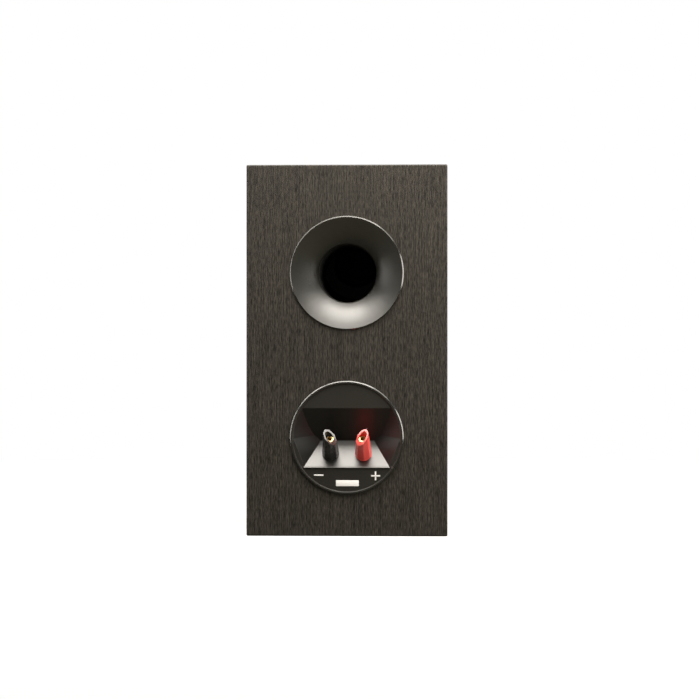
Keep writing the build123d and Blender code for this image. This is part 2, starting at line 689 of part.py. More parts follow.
with BuildPart() as woofer_basket:
    with BuildSketch(woofer_profile):
        with BuildLine():
            Polyline(
                (seat_radius, 0),
                (WOOFER_RADIUS, 0),
                (WOOFER_RADIUS, WOOFER_FLANGE),
                (SURROUND_EDGE_RADIUS, WOOFER_FLANGE),
                (SPIDER_RADIUS + BASKET_WALL, spider_shelf),
                (SPIDER_RADIUS + BASKET_WALL, spider_shelf + BASKET_WALL),
                (neck_radius, spider_shelf + BASKET_WALL),
                (neck_radius, BASKET_DEPTH),
                (MAGNET_BORE, BASKET_DEPTH),
                (MAGNET_BORE, BASKET_DEPTH - BASKET_WALL),
                (neck_radius - BASKET_WALL, BASKET_DEPTH - BASKET_WALL),
                (neck_radius - BASKET_WALL, spider_shelf),
                (SPIDER_RADIUS + SEAT_FIT, spider_shelf),
                (ledge_radius, WOOFER_FLANGE),
                (ledge_radius, SURROUND_SEAT),
                (seat_radius, SURROUND_SEAT),
                close=True,
            )
        make_face()
    revolve(axis=woofer_axis)
    fillet(
        woofer_basket.edges().filter_by(GeomType.CIRCLE).group_by(Axis.Y)[0].sort_by(SortBy.RADIUS)[-1],
        WOOFER_FLANGE / 4,
    )
    # Windows between the spokes
    with BuildSketch(crosswise(FRONT + WOOFER_FLANGE + BASKET_WALL, WOOFER_HEIGHT)):
        with PolarLocations(0, WOOFER_SCREWS, start_angle=180 / WOOFER_SCREWS):
            with BuildLine():
                half = 180 / WOOFER_SCREWS - BASKET_SPOKE / 2
                near = CenterArc((0, 0), neck_radius + BASKET_WALL / 2, -half, 2 * half)
                far = CenterArc((0, 0), WOOFER_RADIUS, -half, 2 * half)
                Line(near @ 0, far @ 0)
                Line(near @ 1, far @ 1)
            make_face()
    extrude(amount=spider_shelf - WOOFER_FLANGE - 2 * BASKET_WALL, mode=Mode.SUBTRACT)
    with BuildSketch(crosswise(FRONT, WOOFER_HEIGHT)):
        with PolarLocations(WOOFER_FIXING_RADIUS, WOOFER_SCREWS):
            Circle(SCREW_RADIUS + GLUE_FIT)
    extrude(amount=WOOFER_FLANGE, mode=Mode.SUBTRACT)
    with BuildSketch(crosswise(FRONT, WOOFER_HEIGHT)):
        with PolarLocations(WOOFER_FIXING_RADIUS, WOOFER_SCREWS):
            Circle(SCREW_HEAD_RADIUS + SEAT_FIT)
    extrude(amount=SCREW_HEAD, mode=Mode.SUBTRACT)

with BuildPart() as woofer_gasket:
    with BuildSketch(crosswise(FRONT + WOOFER_FLANGE, WOOFER_HEIGHT)):
        Circle(WOOFER_RADIUS)
        Circle(WOOFER_CUTOUT_RADIUS, mode=Mode.SUBTRACT)
        with PolarLocations(WOOFER_FIXING_RADIUS, WOOFER_SCREWS):
            Circle(SCREW_RADIUS + SEAT_FIT, mode=Mode.SUBTRACT)
    extrude(amount=GASKET)

roll_top = SURROUND_SEAT - SURROUND_THICKNESS

with BuildPart() as woofer_surround:
    with BuildSketch(woofer_profile):
        with BuildLine():
            over = SURROUND_ROLL + SURROUND_THICKNESS / 2
            under = SURROUND_ROLL - SURROUND_THICKNESS / 2
            CenterArc((roll_radius, roll_top), over, 180, 180)
            Polyline(
                (roll_radius + over, roll_top),
                (SURROUND_EDGE_RADIUS, roll_top),
                (SURROUND_EDGE_RADIUS, SURROUND_SEAT),
                (roll_radius + under, SURROUND_SEAT),
                (roll_radius + under, roll_top),
            )
            CenterArc((roll_radius, roll_top), under, 180, 180)
            Polyline(
                (roll_radius - under, roll_top),
                (roll_radius - under, SURROUND_SEAT),
                (cone_edge_radius - SURROUND_LIP, SURROUND_SEAT),
                (cone_edge_radius - SURROUND_LIP, roll_top),
                (roll_radius - over, roll_top),
            )
        make_face()
    revolve(axis=woofer_axis)

# The cone hangs behind the inner lip of the surround and runs back to the coil former.
cone_lip_radius = cone_edge_radius - SURROUND_LIP
cone_front_edge = (cone_lip_radius, SURROUND_SEAT)
cone_front_neck = (former_outer, CONE_NECK_DEPTH)
cone_front_middle = (
    (cone_front_edge[0] + cone_front_neck[0]) / 2 + CONE_BULGE / 2,
    (cone_front_edge[1] + cone_front_neck[1]) / 2 + CONE_BULGE,
)


def cone_curve(depth):
    """Curved front of the cone, moved back by a depth."""
    points = [cone_front_edge, cone_front_middle, cone_front_neck]
    ThreePointArc(*[(r, a + depth) for r, a in points])


with BuildPart() as woofer_cone:
    with BuildSketch(woofer_profile):
        with BuildLine():
            cone_curve(0)
            cone_curve(CONE_THICKNESS)
            Polyline(
                cone_front_edge,
                (cone_edge_radius, SURROUND_SEAT),
                (cone_edge_radius, SURROUND_SEAT + CONE_THICKNESS),
                (cone_lip_radius, SURROUND_SEAT + CONE_THICKNESS),
            )
            Line(cone_front_neck, (former_outer, CONE_NECK_DEPTH + CONE_THICKNESS))
        make_face()
    revolve(axis=woofer_axis)

# Everything behind the front of the cone, which trims the dust cap to fit on it.
with BuildPart() as behind_cone:
    with BuildSketch(woofer_profile):
        with BuildLine():
            cone_curve(0)
            Polyline(
                cone_front_neck,
                (0, CONE_NECK_DEPTH),
                (0, 2 * CONE_NECK_DEPTH),
                (cone_lip_radius, 2 * CONE_NECK_DEPTH),
                cone_front_edge,
            )
        make_face()
    revolve(axis=woofer_axis)

cap_share = (DUST_CAP_RADIUS - former_outer) / (cone_lip_radius - former_outer)
cap_rim = CONE_NECK_DEPTH - cap_share * (CONE_NECK_DEPTH - SURROUND_SEAT) + CONE_BULGE + DUST_CAP_THICKNESS

with BuildPart() as woofer_dust_cap:
    with BuildSketch(woofer_profile):
        with BuildLine():
            for depth in (0, DUST_CAP_THICKNESS):
                ThreePointArc(
                    (0, cap_rim - DUST_CAP_HEIGHT + depth),
                    (DUST_CAP_RADIUS * 0.55, cap_rim - DUST_CAP_HEIGHT * 0.72 + depth),
                    (DUST_CAP_RADIUS, cap_rim + depth),
                )
            Line((0, cap_rim - DUST_CAP_HEIGHT), (0, cap_rim - DUST_CAP_HEIGHT + DUST_CAP_THICKNESS))
            Line((DUST_CAP_RADIUS, cap_rim), (DUST_CAP_RADIUS, cap_rim + DUST_CAP_THICKNESS))
        make_face()
    revolve(axis=woofer_axis)
    add(behind_cone.part, mode=Mode.SUBTRACT)

woofer_coil_former = turned_ring(
    woofer_profile,
    woofer_axis,
    former_inner,
    former_outer,
    CONE_NECK_DEPTH - CONE_THICKNESS,
    winding_start + WINDING_LENGTH,
)
woofer_winding = turned_ring(
    woofer_profile, woofer_axis, former_outer, winding_outer, winding_start, winding_start + WINDING_LENGTH
)

# Corrugated spider between the former and the basket's shelf
wave_start = former_outer + SPIDER_LIP
wave_step = (neck_radius - BASKET_WALL - wave_start) / (2 * SPIDER_WAVES)

with BuildPart() as woofer_spider:
    with BuildSketch(woofer_profile):
        with BuildLine():
            for depth in (SPIDER_DEPTH, spider_shelf):
                Line((former_outer, depth), (wave_start, depth))
                for i in range(2 * SPIDER_WAVES):
                    r = wave_start + i * wave_step
                    side = 1 if i % 2 else -1
                    ThreePointArc(
                        (r, depth), (r + wave_step / 2, depth + side * SPIDER_WAVE), (r + wave_step, depth)
                    )
                Line((wave_start + 2 * SPIDER_WAVES * wave_step, depth), (SPIDER_RADIUS, depth))
            for r in (former_outer, SPIDER_RADIUS):
                Line((r, SPIDER_DEPTH), (r, spider_shelf))
        make_face()
    revolve(axis=woofer_axis)

woofer_top_plate = turned_ring(
    woofer_profile, woofer_axis, top_plate_bore, TOP_PLATE_RADIUS, BASKET_DEPTH, top_plate_back
)
woofer_magnet = turned_ring(
    woofer_profile, woofer_axis, MAGNET_BORE, MAGNET_RADIUS, top_plate_back, magnet_back
)

with BuildPart() as woofer_yoke:
    with BuildSketch(woofer_profile):
        with Locations((POLE_VENT_RADIUS, magnet_back)):
            Rectangle(TOP_PLATE_RADIUS - POLE_VENT_RADIUS, YOKE_PLATE, align=(Align.MIN, Align.MIN))
        with Locations((POLE_VENT_RADIUS, BASKET_DEPTH)):
            Rectangle(
                POLE_RADIUS - POLE_VENT_RADIUS, magnet_back - BASKET_DEPTH, align=(Align.MIN, Align.MIN)
            )
    revolve(axis=woofer_axis)
    fillet(woofer_yoke.faces().sort_by(Axis.Y)[-1].outer_wire().edges(), YOKE_PLATE / 4)


def screws(z, circle, count, turn):
    """Ring of socket screws sunk into a flange, on one driver."""
    with BuildPart() as ring:
        with BuildSketch(crosswise(FRONT, z)):
            with PolarLocations(circle, count, start_angle=turn):
                Circle(SCREW_HEAD_RADIUS)
                RegularPolygon(SCREW_KEY_RADIUS, 6, mode=Mode.SUBTRACT)
        extrude(amount=SCREW_HEAD / 2)
        with BuildSketch(crosswise(FRONT + SCREW_HEAD / 2, z)):
            with PolarLocations(circle, count, start_angle=turn):
                Circle(SCREW_HEAD_RADIUS)
        extrude(amount=SCREW_HEAD / 2)
        with BuildSketch(crosswise(FRONT + SCREW_HEAD, z)):
            with PolarLocations(circle, count, start_angle=turn):
                Circle(SCREW_RADIUS)
        extrude(amount=SCREW_LENGTH)
    return ring


def tabs(y, z, half_gap, height):
    """Pair of push-on tabs that stand out behind a driver."""
    with BuildPart() as pair:
        with BuildSketch(crosswise(y, z)):
            for side in (-1, 1):
                with Locations((side * half_gap, -height)):
                    Rectangle(TAB_WIDTH, TAB_THICKNESS)
        extrude(amount=TAB_LENGTH)
    return pair


woofer_screws = screws(WOOFER_HEIGHT, WOOFER_FIXING_RADIUS, WOOFER_SCREWS, 0)
woofer_tab_offset = SPIDER_RADIUS + BASKET_WALL / 2 - TAB_THICKNESS
woofer_tabs = tabs(FRONT + spider_shelf + BASKET_WALL, WOOFER_HEIGHT, TAB_WIDTH, -woofer_tab_offset)

# Tweeter, measured inwards from the face of the baffle

tweeter_profile = lengthwise(FRONT, TWEETER_HEIGHT)
tweeter_axis = Axis((0, FRONT, TWEETER_HEIGHT), (0, 1, 0))
dome_edge = TWEETER_HUB_DEPTH - DOME_THICKNESS
dome_opening = DOME_RADIUS + 2 * DOME_ROLL
dome_lip_radius = dome_opening + DOME_LIP
tweeter_former_inner = TWEETER_POLE_RADIUS + POLE_GAP
tweeter_former_outer = tweeter_former_inner + FORMER_THICKNESS
tweeter_winding_outer = tweeter_former_outer + FORMER_THICKNESS
tweeter_gap_radius = tweeter_winding_outer + POLE_GAP
tweeter_top_back = TWEETER_HUB_DEPTH + TWEETER_TOP_PLATE
tweeter_magnet_back = tweeter_top_back + TWEETER_MAGNET
tweeter_yoke_back = tweeter_magnet_back + TWEETER_YOKE

with BuildPart() as tweeter_faceplate:
    with BuildSketch(tweeter_profile):
        Rectangle(TWEETER_RADIUS, TWEETER_PLATE, align=(Align.MIN, Align.MIN))
        Rectangle(TWEETER_HUB_RADIUS, TWEETER_HUB_DEPTH, align=(Align.MIN, Align.MIN))
        # Shallow waveguide down to the dome, and a seat for the dome's lip behind it
        with BuildLine():
            guide_start = (WAVEGUIDE_RADIUS, 0)
            guide_end = (dome_opening, dome_edge - DOME_ROLL)
            guide_middle = (
                (guide_start[0] + guide_end[0]) / 2,
                (guide_start[1] + guide_end[1]) / 2 - WAVEGUIDE_BULGE / 2,
            )
            ThreePointArc(guide_start, guide_middle, guide_end)
            guide_floor = (dome_opening, TWEETER_HUB_DEPTH)
            Polyline(guide_end, guide_floor, (0, TWEETER_HUB_DEPTH), (0, 0), guide_start)
        make_face(mode=Mode.SUBTRACT)
        with Locations((0, TWEETER_HUB_DEPTH)):
            Rectangle(
                dome_lip_radius + SEAT_FIT, DOME_THICKNESS, align=(Align.MIN, Align.MAX), mode=Mode.SUBTRACT
            )
    revolve(axis=tweeter_axis)
    fillet(
        tweeter_faceplate.edges().filter_by(GeomType.CIRCLE).group_by(Axis.Y)[0].sort_by(SortBy.RADIUS)[-1],
        TWEETER_PLATE / 4,
    )
    with BuildSketch(crosswise(FRONT, TWEETER_HEIGHT)):
        with PolarLocations(TWEETER_FIXING_RADIUS, TWEETER_SCREWS, start_angle=45):
            Circle(SCREW_RADIUS + GLUE_FIT)
    extrude(amount=TWEETER_PLATE, mode=Mode.SUBTRACT)
    with BuildSketch(crosswise(FRONT, TWEETER_HEIGHT)):
        with PolarLocations(TWEETER_FIXING_RADIUS, TWEETER_SCREWS, start_angle=45):
            Circle(SCREW_HEAD_RADIUS + SEAT_FIT)
    extrude(amount=SCREW_HEAD, mode=Mode.SUBTRACT)

with BuildPart() as tweeter_gasket:
    with BuildSketch(crosswise(FRONT + TWEETER_PLATE, TWEETER_HEIGHT)):
        Circle(TWEETER_RADIUS)
        Circle(tweeter_cutout_radius, mode=Mode.SUBTRACT)
        with PolarLocations(TWEETER_FIXING_RADIUS, TWEETER_SCREWS, start_angle=45):
            Circle(SCREW_RADIUS + SEAT_FIT, mode=Mode.SUBTRACT)
    extrude(amount=GASKET)

with BuildPart() as tweeter_dome:
    with BuildSketch(tweeter_profile):
        with BuildLine():
            for depth in (0, DOME_THICKNESS):
                ThreePointArc(
                    (0, dome_edge - DOME_HEIGHT + depth),
                    (DOME_RADIUS / 2, dome_edge - DOME_HEIGHT * 0.77 + depth),
                    (DOME_RADIUS, dome_edge + depth),
                )
            Line((0, dome_edge - DOME_HEIGHT), (0, dome_edge - DOME_HEIGHT + DOME_THICKNESS))
            Line((DOME_RADIUS, dome_edge), (DOME_RADIUS, dome_edge + DOME_THICKNESS))
        make_face()
    revolve(axis=tweeter_axis)

with BuildPart() as tweeter_surround:
    with BuildSketch(tweeter_profile):
        with BuildLine():
            roll_center = (DOME_RADIUS + DOME_ROLL, dome_edge)
            CenterArc(roll_center, DOME_ROLL, 180, 180)
            CenterArc(roll_center, DOME_ROLL - DOME_THICKNESS, 180, 180)
            Line((DOME_RADIUS, dome_edge), (DOME_RADIUS + DOME_THICKNESS, dome_edge))
            Line((dome_opening - DOME_THICKNESS, dome_edge), (dome_opening, dome_edge))
        make_face()
        with Locations((dome_opening - DOME_THICKNESS, dome_edge)):
            Rectangle(DOME_LIP + DOME_THICKNESS, DOME_THICKNESS, align=(Align.MIN, Align.MIN))
    revolve(axis=tweeter_axis)

tweeter_coil_former = turned_ring(
    tweeter_profile,
    tweeter_axis,
    tweeter_former_inner,
    tweeter_former_outer,
    TWEETER_HUB_DEPTH,
    TWEETER_HUB_DEPTH + TWEETER_TOP_PLATE,
)
tweeter_winding_start = TWEETER_HUB_DEPTH + TWEETER_TOP_PLATE / 2 - TWEETER_WINDING_LENGTH / 2
tweeter_winding = turned_ring(
    tweeter_profile,
    tweeter_axis,
    tweeter_former_outer,
    tweeter_winding_outer,
    tweeter_winding_start,
    tweeter_winding_start + TWEETER_WINDING_LENGTH,
)
tweeter_top_plate = turned_ring(
    tweeter_profile,
    tweeter_axis,
    tweeter_gap_radius,
    TWEETER_YOKE_RADIUS,
    TWEETER_HUB_DEPTH,
    tweeter_top_back,
)
tweeter_magnet = turned_ring(
    tweeter_profile,
    tweeter_axis,
    TWEETER_MAGNET_BORE,
    TWEETER_MAGNET_RADIUS,
    tweeter_top_back,
    tweeter_magnet_back,
)
pole_top = TWEETER_HUB_DEPTH + DOME_THICKNESS

with BuildPart() as tweeter_yoke:
    with BuildSketch(tweeter_profile):
        with Locations((TWEETER_VENT_RADIUS, tweeter_magnet_back)):
            Rectangle(TWEETER_YOKE_RADIUS - TWEETER_VENT_RADIUS, TWEETER_YOKE, align=(Align.MIN, Align.MIN))
        with Locations((TWEETER_VENT_RADIUS, pole_top)):
            Rectangle(
                TWEETER_POLE_RADIUS - TWEETER_VENT_RADIUS,
                tweeter_magnet_back - pole_top,
                align=(Align.MIN, Align.MIN),
            )
    revolve(axis=tweeter_axis)

with BuildPart() as tweeter_rear_chamber:
    with BuildSketch(crosswise(FRONT + tweeter_yoke_back, TWEETER_HEIGHT)):
        Circle(CHAMBER_RADIUS)
    extrude(amount=CHAMBER_DEPTH)
    rear_face = tweeter_rear_chamber.faces().sort_by(Axis.Y)[-1]
    fillet(rear_face.edges(), CHAMBER_DEPTH / 4)
    offset(amount=-CHAMBER_WALL, openings=tweeter_rear_chamber.faces().sort_by(Axis.Y)[0])

tweeter_screws = screws(TWEETER_HEIGHT, TWEETER_FIXING_RADIUS, TWEETER_SCREWS, 45)
tweeter_tab_offset = TWEETER_MAGNET_RADIUS + LEAD_RADIUS + SEAT_FIT
tweeter_tabs = tabs(FRONT + TWEETER_HUB_DEPTH, TWEETER_HEIGHT, TWEETER_TAB_GAP, -tweeter_tab_offset)

# Crossover

with BuildPart() as crossover_board:
    with BuildSketch(Plane.XY.offset(BOARD_UNDERSIDE)):
        with Locations((0, BOARD_Y)):
            Rectangle(BOARD_LENGTH, BOARD_WIDTH)
        with Locations(board_holes):
            Circle(SCREW_RADIUS + GLUE_FIT, mode=Mode.SUBTRACT)
    extrude(amount=BOARD_THICKNESS)

with BuildPart() as board_spacers:
    with BuildSketch(Plane.XY.offset(WALL)):
        with Locations(board_holes):
            Circle(SPACER_RADIUS)
            Circle(SCREW_RADIUS + GLUE_FIT, mode=Mode.SUBTRACT)
    extrude(amount=SPACER_HEIGHT)

with BuildPart() as board_screws:
    with BuildSketch(Plane.XY.offset(BOARD_TOP)):
        with Locations(board_holes):
            Circle(SCREW_HEAD_RADIUS)
    extrude(amount=SCREW_HEAD)
    fillet(board_screws.faces().group_by(Axis.Z)[-1].edges(), SCREW_HEAD / 3)
    with BuildSketch(Plane.XY.offset(BOARD_TOP)):
        with Locations(board_holes):
            Circle(SCREW_RADIUS)
    extrude(amount=-SCREW_LENGTH + SCREW_HEAD)

coil_places = [(side * BOARD_LENGTH / 4, BOARD_Y - BOARD_WIDTH / 4) for side in (-1, 1)]
part_row = BOARD_Y + BOARD_WIDTH / 4

with BuildPart() as crossover_bobbins:
    for bottom in (BOARD_TOP, BOARD_TOP + BOBBIN_HEIGHT - BOBBIN_CHEEK):
        with BuildSketch(Plane.XY.offset(bottom)):
            with Locations(coil_places):
                Circle(BOBBIN_RADIUS)
        extrude(amount=BOBBIN_CHEEK)
    with BuildSketch(Plane.XY.offset(BOARD_TOP)):
        with Locations(coil_places):
            Circle(BOBBIN_CORE_RADIUS)
    extrude(amount=BOBBIN_HEIGHT)

with BuildPart() as crossover_windings:
    with BuildSketch(Plane.XY.offset(BOARD_TOP + BOBBIN_CHEEK)):
        with Locations(coil_places):
            Circle(BOBBIN_RADIUS - BOBBIN_CHEEK)
            Circle(BOBBIN_CORE_RADIUS + GLUE_FIT, mode=Mode.SUBTRACT)
    extrude(amount=BOBBIN_HEIGHT - 2 * BOBBIN_CHEEK)

with BuildPart() as crossover_capacitors:
    capacitor_plane = Plane(
        origin=(0, part_row, BOARD_TOP + CAPACITOR_RADIUS), x_dir=(0, 1, 0), z_dir=(1, 0, 0)
    )
    with BuildSketch(capacitor_plane.offset(-BOARD_LENGTH / 4)):
        Circle(CAPACITOR_RADIUS)
    with BuildSketch(capacitor_plane.offset(BOARD_LENGTH / 4)):
        Circle(CAPACITOR_RADIUS)
    extrude(amount=CAPACITOR_LENGTH / 2, both=True)

with BuildPart() as crossover_resistor:
    with BuildSketch(Plane.XY.offset(BOARD_TOP)):
        with Locations((0, BOARD_Y)):
            Rectangle(RESISTOR_LENGTH, RESISTOR_SIDE)
    extrude(amount=RESISTOR_SIDE)

# Leads, each a pair that runs between two fixed ends inside the cabinet


def lead_pair(routes):
    with BuildPart() as pair:
        for route in routes:
            with BuildLine() as path:
                FilletPolyline(*route, radius=LEAD_BEND)
            with BuildSketch(Plane(origin=path.line @ 0, z_dir=path.line % 0)):
                Circle(LEAD_RADIUS)
            sweep(path=path.line)
    return pair


tag_tip = NUT_RADIUS - TAG_WIDTH / 2 + TAG_LENGTH
board_back = BOARD_Y + BOARD_WIDTH / 2 - BOARD_HOLE_INSET
board_front = BOARD_Y - BOARD_WIDTH / 2 + 2 * LEAD_RADIUS
input_routes = []
for x in (NEGATIVE_X, POSITIVE_X):
    solder = post_plane(x).from_local_coords(Vector(0, TAG_WIDTH / 2 - tag_tip, tag_back - LEAD_RADIUS))
    drop = post_plane(x).from_local_coords(
        Vector(0, TAG_WIDTH / 2 - tag_tip, tag_back - LEAD_RADIUS - 2 * LEAD_BEND)
    )
    landing = Vector(x, board_back, BOARD_TOP + LEAD_RADIUS)
    input_routes.append([solder, drop, Vector(x, board_back, drop.Z), landing])

woofer_tab_middle = FRONT + spider_shelf + BASKET_WALL + TAB_LENGTH / 2
woofer_tab_under = WOOFER_HEIGHT - woofer_tab_offset - TAB_THICKNESS / 2
woofer_lead_height = WOOFER_HEIGHT - MAGNET_RADIUS - 2 * LEAD_BEND
woofer_routes = [
    [
        Vector(side * TAB_WIDTH, woofer_tab_middle, woofer_tab_under),
        Vector(side * TAB_WIDTH, woofer_tab_middle, woofer_lead_height),
        Vector(side * TAB_WIDTH, board_front, woofer_lead_height),
        Vector(side * TAB_WIDTH, board_front, BOARD_TOP),
    ]
    for side in (-1, 1)
]
tweeter_tab_end = FRONT + TWEETER_HUB_DEPTH + TAB_LENGTH
tweeter_tab_z = TWEETER_HEIGHT - tweeter_tab_offset
tweeter_drop = FRONT + yoke_back + 3 * LEAD_BEND
tweeter_lead_height = woofer_lead_height + 2 * LEAD_BEND
tweeter_routes = [
    [
        Vector(side * TWEETER_TAB_GAP, tweeter_tab_end, tweeter_tab_z),
        Vector(side * TWEETER_TAB_GAP, tweeter_drop, tweeter_tab_z),
        Vector(side * TWEETER_TAB_GAP, tweeter_drop, tweeter_lead_height),
        Vector(side * TWEETER_TAB_GAP, board_front, tweeter_lead_height),
        Vector(side * TWEETER_TAB_GAP, board_front, BOARD_TOP),
    ]
    for side in (-1, 1)
]

PIECES = {
    "left_side_panel": left_side_panel,
    "right_side_panel": right_side_panel,
    "top_panel": top_panel,
    "bottom_panel": bottom_panel_bored,
    "back_panel": back_panel,
    "front_baffle": front_baffle,
    "window_brace": window_brace,
    "felt_lining": felt_lining,
    "port_flare": port_flare,
    "port_tube": port_tube,
    "terminal_cup": terminal_cup,
    "negative_base": post_base(NEGATIVE_X),
    "positive_base": post_base(POSITIVE_X),
    "negative_stud": stud(NEGATIVE_X),
    "positive_stud": stud(POSITIVE_X),
    "negative_clamp_washer": clamp_washer(NEGATIVE_X),
    "positive_clamp_washer": clamp_washer(POSITIVE_X),
    "negative_knob": knob(NEGATIVE_X, NEGATIVE_KNOB_ANGLE),
    "positive_knob": knob(POSITIVE_X, POSITIVE_KNOB_ANGLE),
    "negative_knob_insert": knob_insert(NEGATIVE_X),
    "positive_knob_insert": knob_insert(POSITIVE_X),
    "negative_solder_tag": solder_tag(NEGATIVE_X),
    "positive_solder_tag": solder_tag(POSITIVE_X),
    "negative_nut": post_nut(NEGATIVE_X),
    "positive_nut": post_nut(POSITIVE_X),
    "woofer_basket": woofer_basket,
    "woofer_gasket": woofer_gasket,
    "woofer_surround": woofer_surround,
    "woofer_cone": woofer_cone,
    "woofer_dust_cap": woofer_dust_cap,
    "woofer_coil_former": woofer_coil_former,
    "woofer_winding": woofer_winding,
    "woofer_spider": woofer_spider,
    "woofer_top_plate": woofer_top_plate,
    "woofer_magnet": woofer_magnet,
    "woofer_yoke": woofer_yoke,
    "woofer_screws": woofer_screws,
    "woofer_tabs": woofer_tabs,
    "tweeter_faceplate": tweeter_faceplate,
    "tweeter_gasket": tweeter_gasket,
    "tweeter_dome": tweeter_dome,
    "tweeter_surround": tweeter_surround,
    "tweeter_coil_former": tweeter_coil_former,
    "tweeter_winding": tweeter_winding,
    "tweeter_top_plate": tweeter_top_plate,
    "tweeter_magnet": tweeter_magnet,
    "tweeter_yoke": tweeter_yoke,
    "tweeter_rear_chamber": tweeter_rear_chamber,
    "tweeter_screws": tweeter_screws,
    "tweeter_tabs": tweeter_tabs,
    "crossover_board": crossover_board,
    "board_spacers": board_spacers,
    "board_screws": board_screws,
    "crossover_bobbins": crossover_bobbins,
    "crossover_windings": crossover_windings,
    "crossover_capacitors": crossover_capacitors,
    "crossover_resistor": crossover_resistor,
    "input_leads": lead_pair(input_routes),
    "woofer_leads": lead_pair(woofer_routes),
    "tweeter_leads": lead_pair(tweeter_routes),
}

for piece_name, piece in PIECES.items():
    save(piece, piece_name)
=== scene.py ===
"""Looks of the bookshelf speaker: finishes, soft parts, small marks, studio light and camera."""

import json
from math import cos, pi, radians, sin

import bpy
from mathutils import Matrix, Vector


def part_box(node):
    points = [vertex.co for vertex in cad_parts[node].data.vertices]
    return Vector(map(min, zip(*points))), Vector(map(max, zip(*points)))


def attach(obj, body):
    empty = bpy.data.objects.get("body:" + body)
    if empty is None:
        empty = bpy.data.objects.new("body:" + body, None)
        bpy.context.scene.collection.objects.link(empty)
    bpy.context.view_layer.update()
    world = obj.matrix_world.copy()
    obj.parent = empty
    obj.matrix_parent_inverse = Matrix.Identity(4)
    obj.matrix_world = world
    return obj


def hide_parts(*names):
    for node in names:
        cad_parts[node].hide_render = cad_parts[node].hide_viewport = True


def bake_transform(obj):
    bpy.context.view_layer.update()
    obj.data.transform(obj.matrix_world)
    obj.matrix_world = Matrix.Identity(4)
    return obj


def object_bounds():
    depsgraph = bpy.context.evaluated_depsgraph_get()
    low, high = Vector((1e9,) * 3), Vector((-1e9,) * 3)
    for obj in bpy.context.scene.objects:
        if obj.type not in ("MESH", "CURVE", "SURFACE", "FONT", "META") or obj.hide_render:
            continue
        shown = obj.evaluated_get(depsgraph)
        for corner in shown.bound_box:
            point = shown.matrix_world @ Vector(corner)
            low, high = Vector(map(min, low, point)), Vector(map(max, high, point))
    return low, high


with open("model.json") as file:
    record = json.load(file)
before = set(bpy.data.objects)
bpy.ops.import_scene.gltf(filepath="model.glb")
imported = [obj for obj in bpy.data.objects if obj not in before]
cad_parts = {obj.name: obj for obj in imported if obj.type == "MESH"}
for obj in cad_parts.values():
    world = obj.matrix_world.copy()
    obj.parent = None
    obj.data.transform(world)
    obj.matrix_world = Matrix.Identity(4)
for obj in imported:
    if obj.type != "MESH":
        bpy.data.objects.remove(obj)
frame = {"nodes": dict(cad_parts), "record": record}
cad_low, cad_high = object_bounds()
NODES = frame["nodes"]
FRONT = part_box("front_baffle")[0].y
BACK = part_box("back_panel")[1].y


def middle(node):
    """Middle of a node's box."""
    low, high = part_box(node)
    return (low + high) / 2


WOOFER = middle("woofer_cone")
TWEETER = middle("tweeter_dome")
CUP = middle("terminal_cup")
PORT = middle("port_tube")
POST_SLOPE = radians(53.0)
POST_AXIS = (0.0, sin(POST_SLOPE), cos(POST_SLOPE))
TRAY_LEVEL = min(Vector(POST_AXIS).dot(vertex.co) for vertex in NODES["negative_base"].data.vertices)
CUP_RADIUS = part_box("terminal_cup")[1].x
PORT_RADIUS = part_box("port_flare")[1].x
TUBE_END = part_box("port_tube")[1].y

# Grain of the wrap, in spots to the metre: across the grain, then along it
GRAIN_STREAKS = (1350, 150)
GRAIN_THREADS = (1150, 22)
GRAIN_PORES = (1900, 260)

# Where one finish gives way to the next, in metres: start and end of each change
# Inside the proud faces the cup is darker, partly as painted shade
FACES_PROUD = (0.0007, 0.00095)
TRAY_SKIN = (0.0002, 0.0005)
CUP_EDGE_WIDTH = (0.0013, 0.0010)
PORT_EDGE_WIDTH = (0.0012, 0.0009)
# Past the throat depth the flare is painted flat black as shade
THROAT_DEPTH = (0.0014, 0.0024)

# Suspension of the drivers: lengths in metres, profile points as (radius, depth) from outside in
WOOFER_ROLL = {"center": 0.0522, "depth": 0.00250, "radius": 0.0048, "count": 18}
WOOFER_OUTER_LIP = [(0.0608, 0.0028), (0.0602, 0.00295), (0.0590, 0.00295), (0.0577, 0.0029)]
WOOFER_INNER_LIP = [(0.0467, 0.0029), (0.0450, 0.00295), (0.0437, 0.00295)]
WOOFER_RUBBER = 0.0008
WOOFER_BEND = (0.0472, 0.0572)
TWEETER_ROLL = {"center": 0.0140, "depth": 0.0086, "radius": 0.0011, "count": 10}
TWEETER_OUTER_LIP = [(0.0172, 0.0088), (0.0160, 0.0088), (0.0153, 0.00875)]
TWEETER_CLOTH = 0.00034
TWEETER_BEND = (0.0129, 0.0151)
SPIDER_DEPTH = 0.03125
SPIDER_RIM = 0.0419
SPIDER_BEND = (0.0192, 0.0352)
SPIDER_NECK = 0.0170
SPIDER_HOLE = 0.0151
SPIDER_WAVE_HEIGHT = 0.0009
SPIDER_WAVE_COUNT = 3
SPIDER_STEPS = 48
SPIDER_CLOTH = 0.00045

# Edges that turn by less than these angles, in degrees, are shaded smooth
ROLL_SMOOTHING = 50
PLATE_SMOOTHING = 35

# Print on the cup's lower face, in metres. Places and corners are (x, height from the cup's middle)
LABEL_FACE = BACK + 0.0011
PRINT_PROUD = 0.00008
PRINT_EDGE = PRINT_PROUD * 0.9
SIGN_STROKE = 0.0012
MINUS_PLACE = (0.02335, -0.0311)
MINUS_LENGTH = 0.0079
PLUS_PLACE = (-0.02405, -0.0316)
PLUS_LENGTH = 0.0075
PLATE_LOW = (-0.0101, -0.0403)
PLATE_HIGH = (0.0090, -0.0353)
PLATE_PROUD = 0.00018
PLATE_EDGE = 0.00012

# Felt pads on the side walls, in metres
FELT_THICKNESS = 0.008
FELT_EDGE = 0.003
BRACE_GAP = 0.006

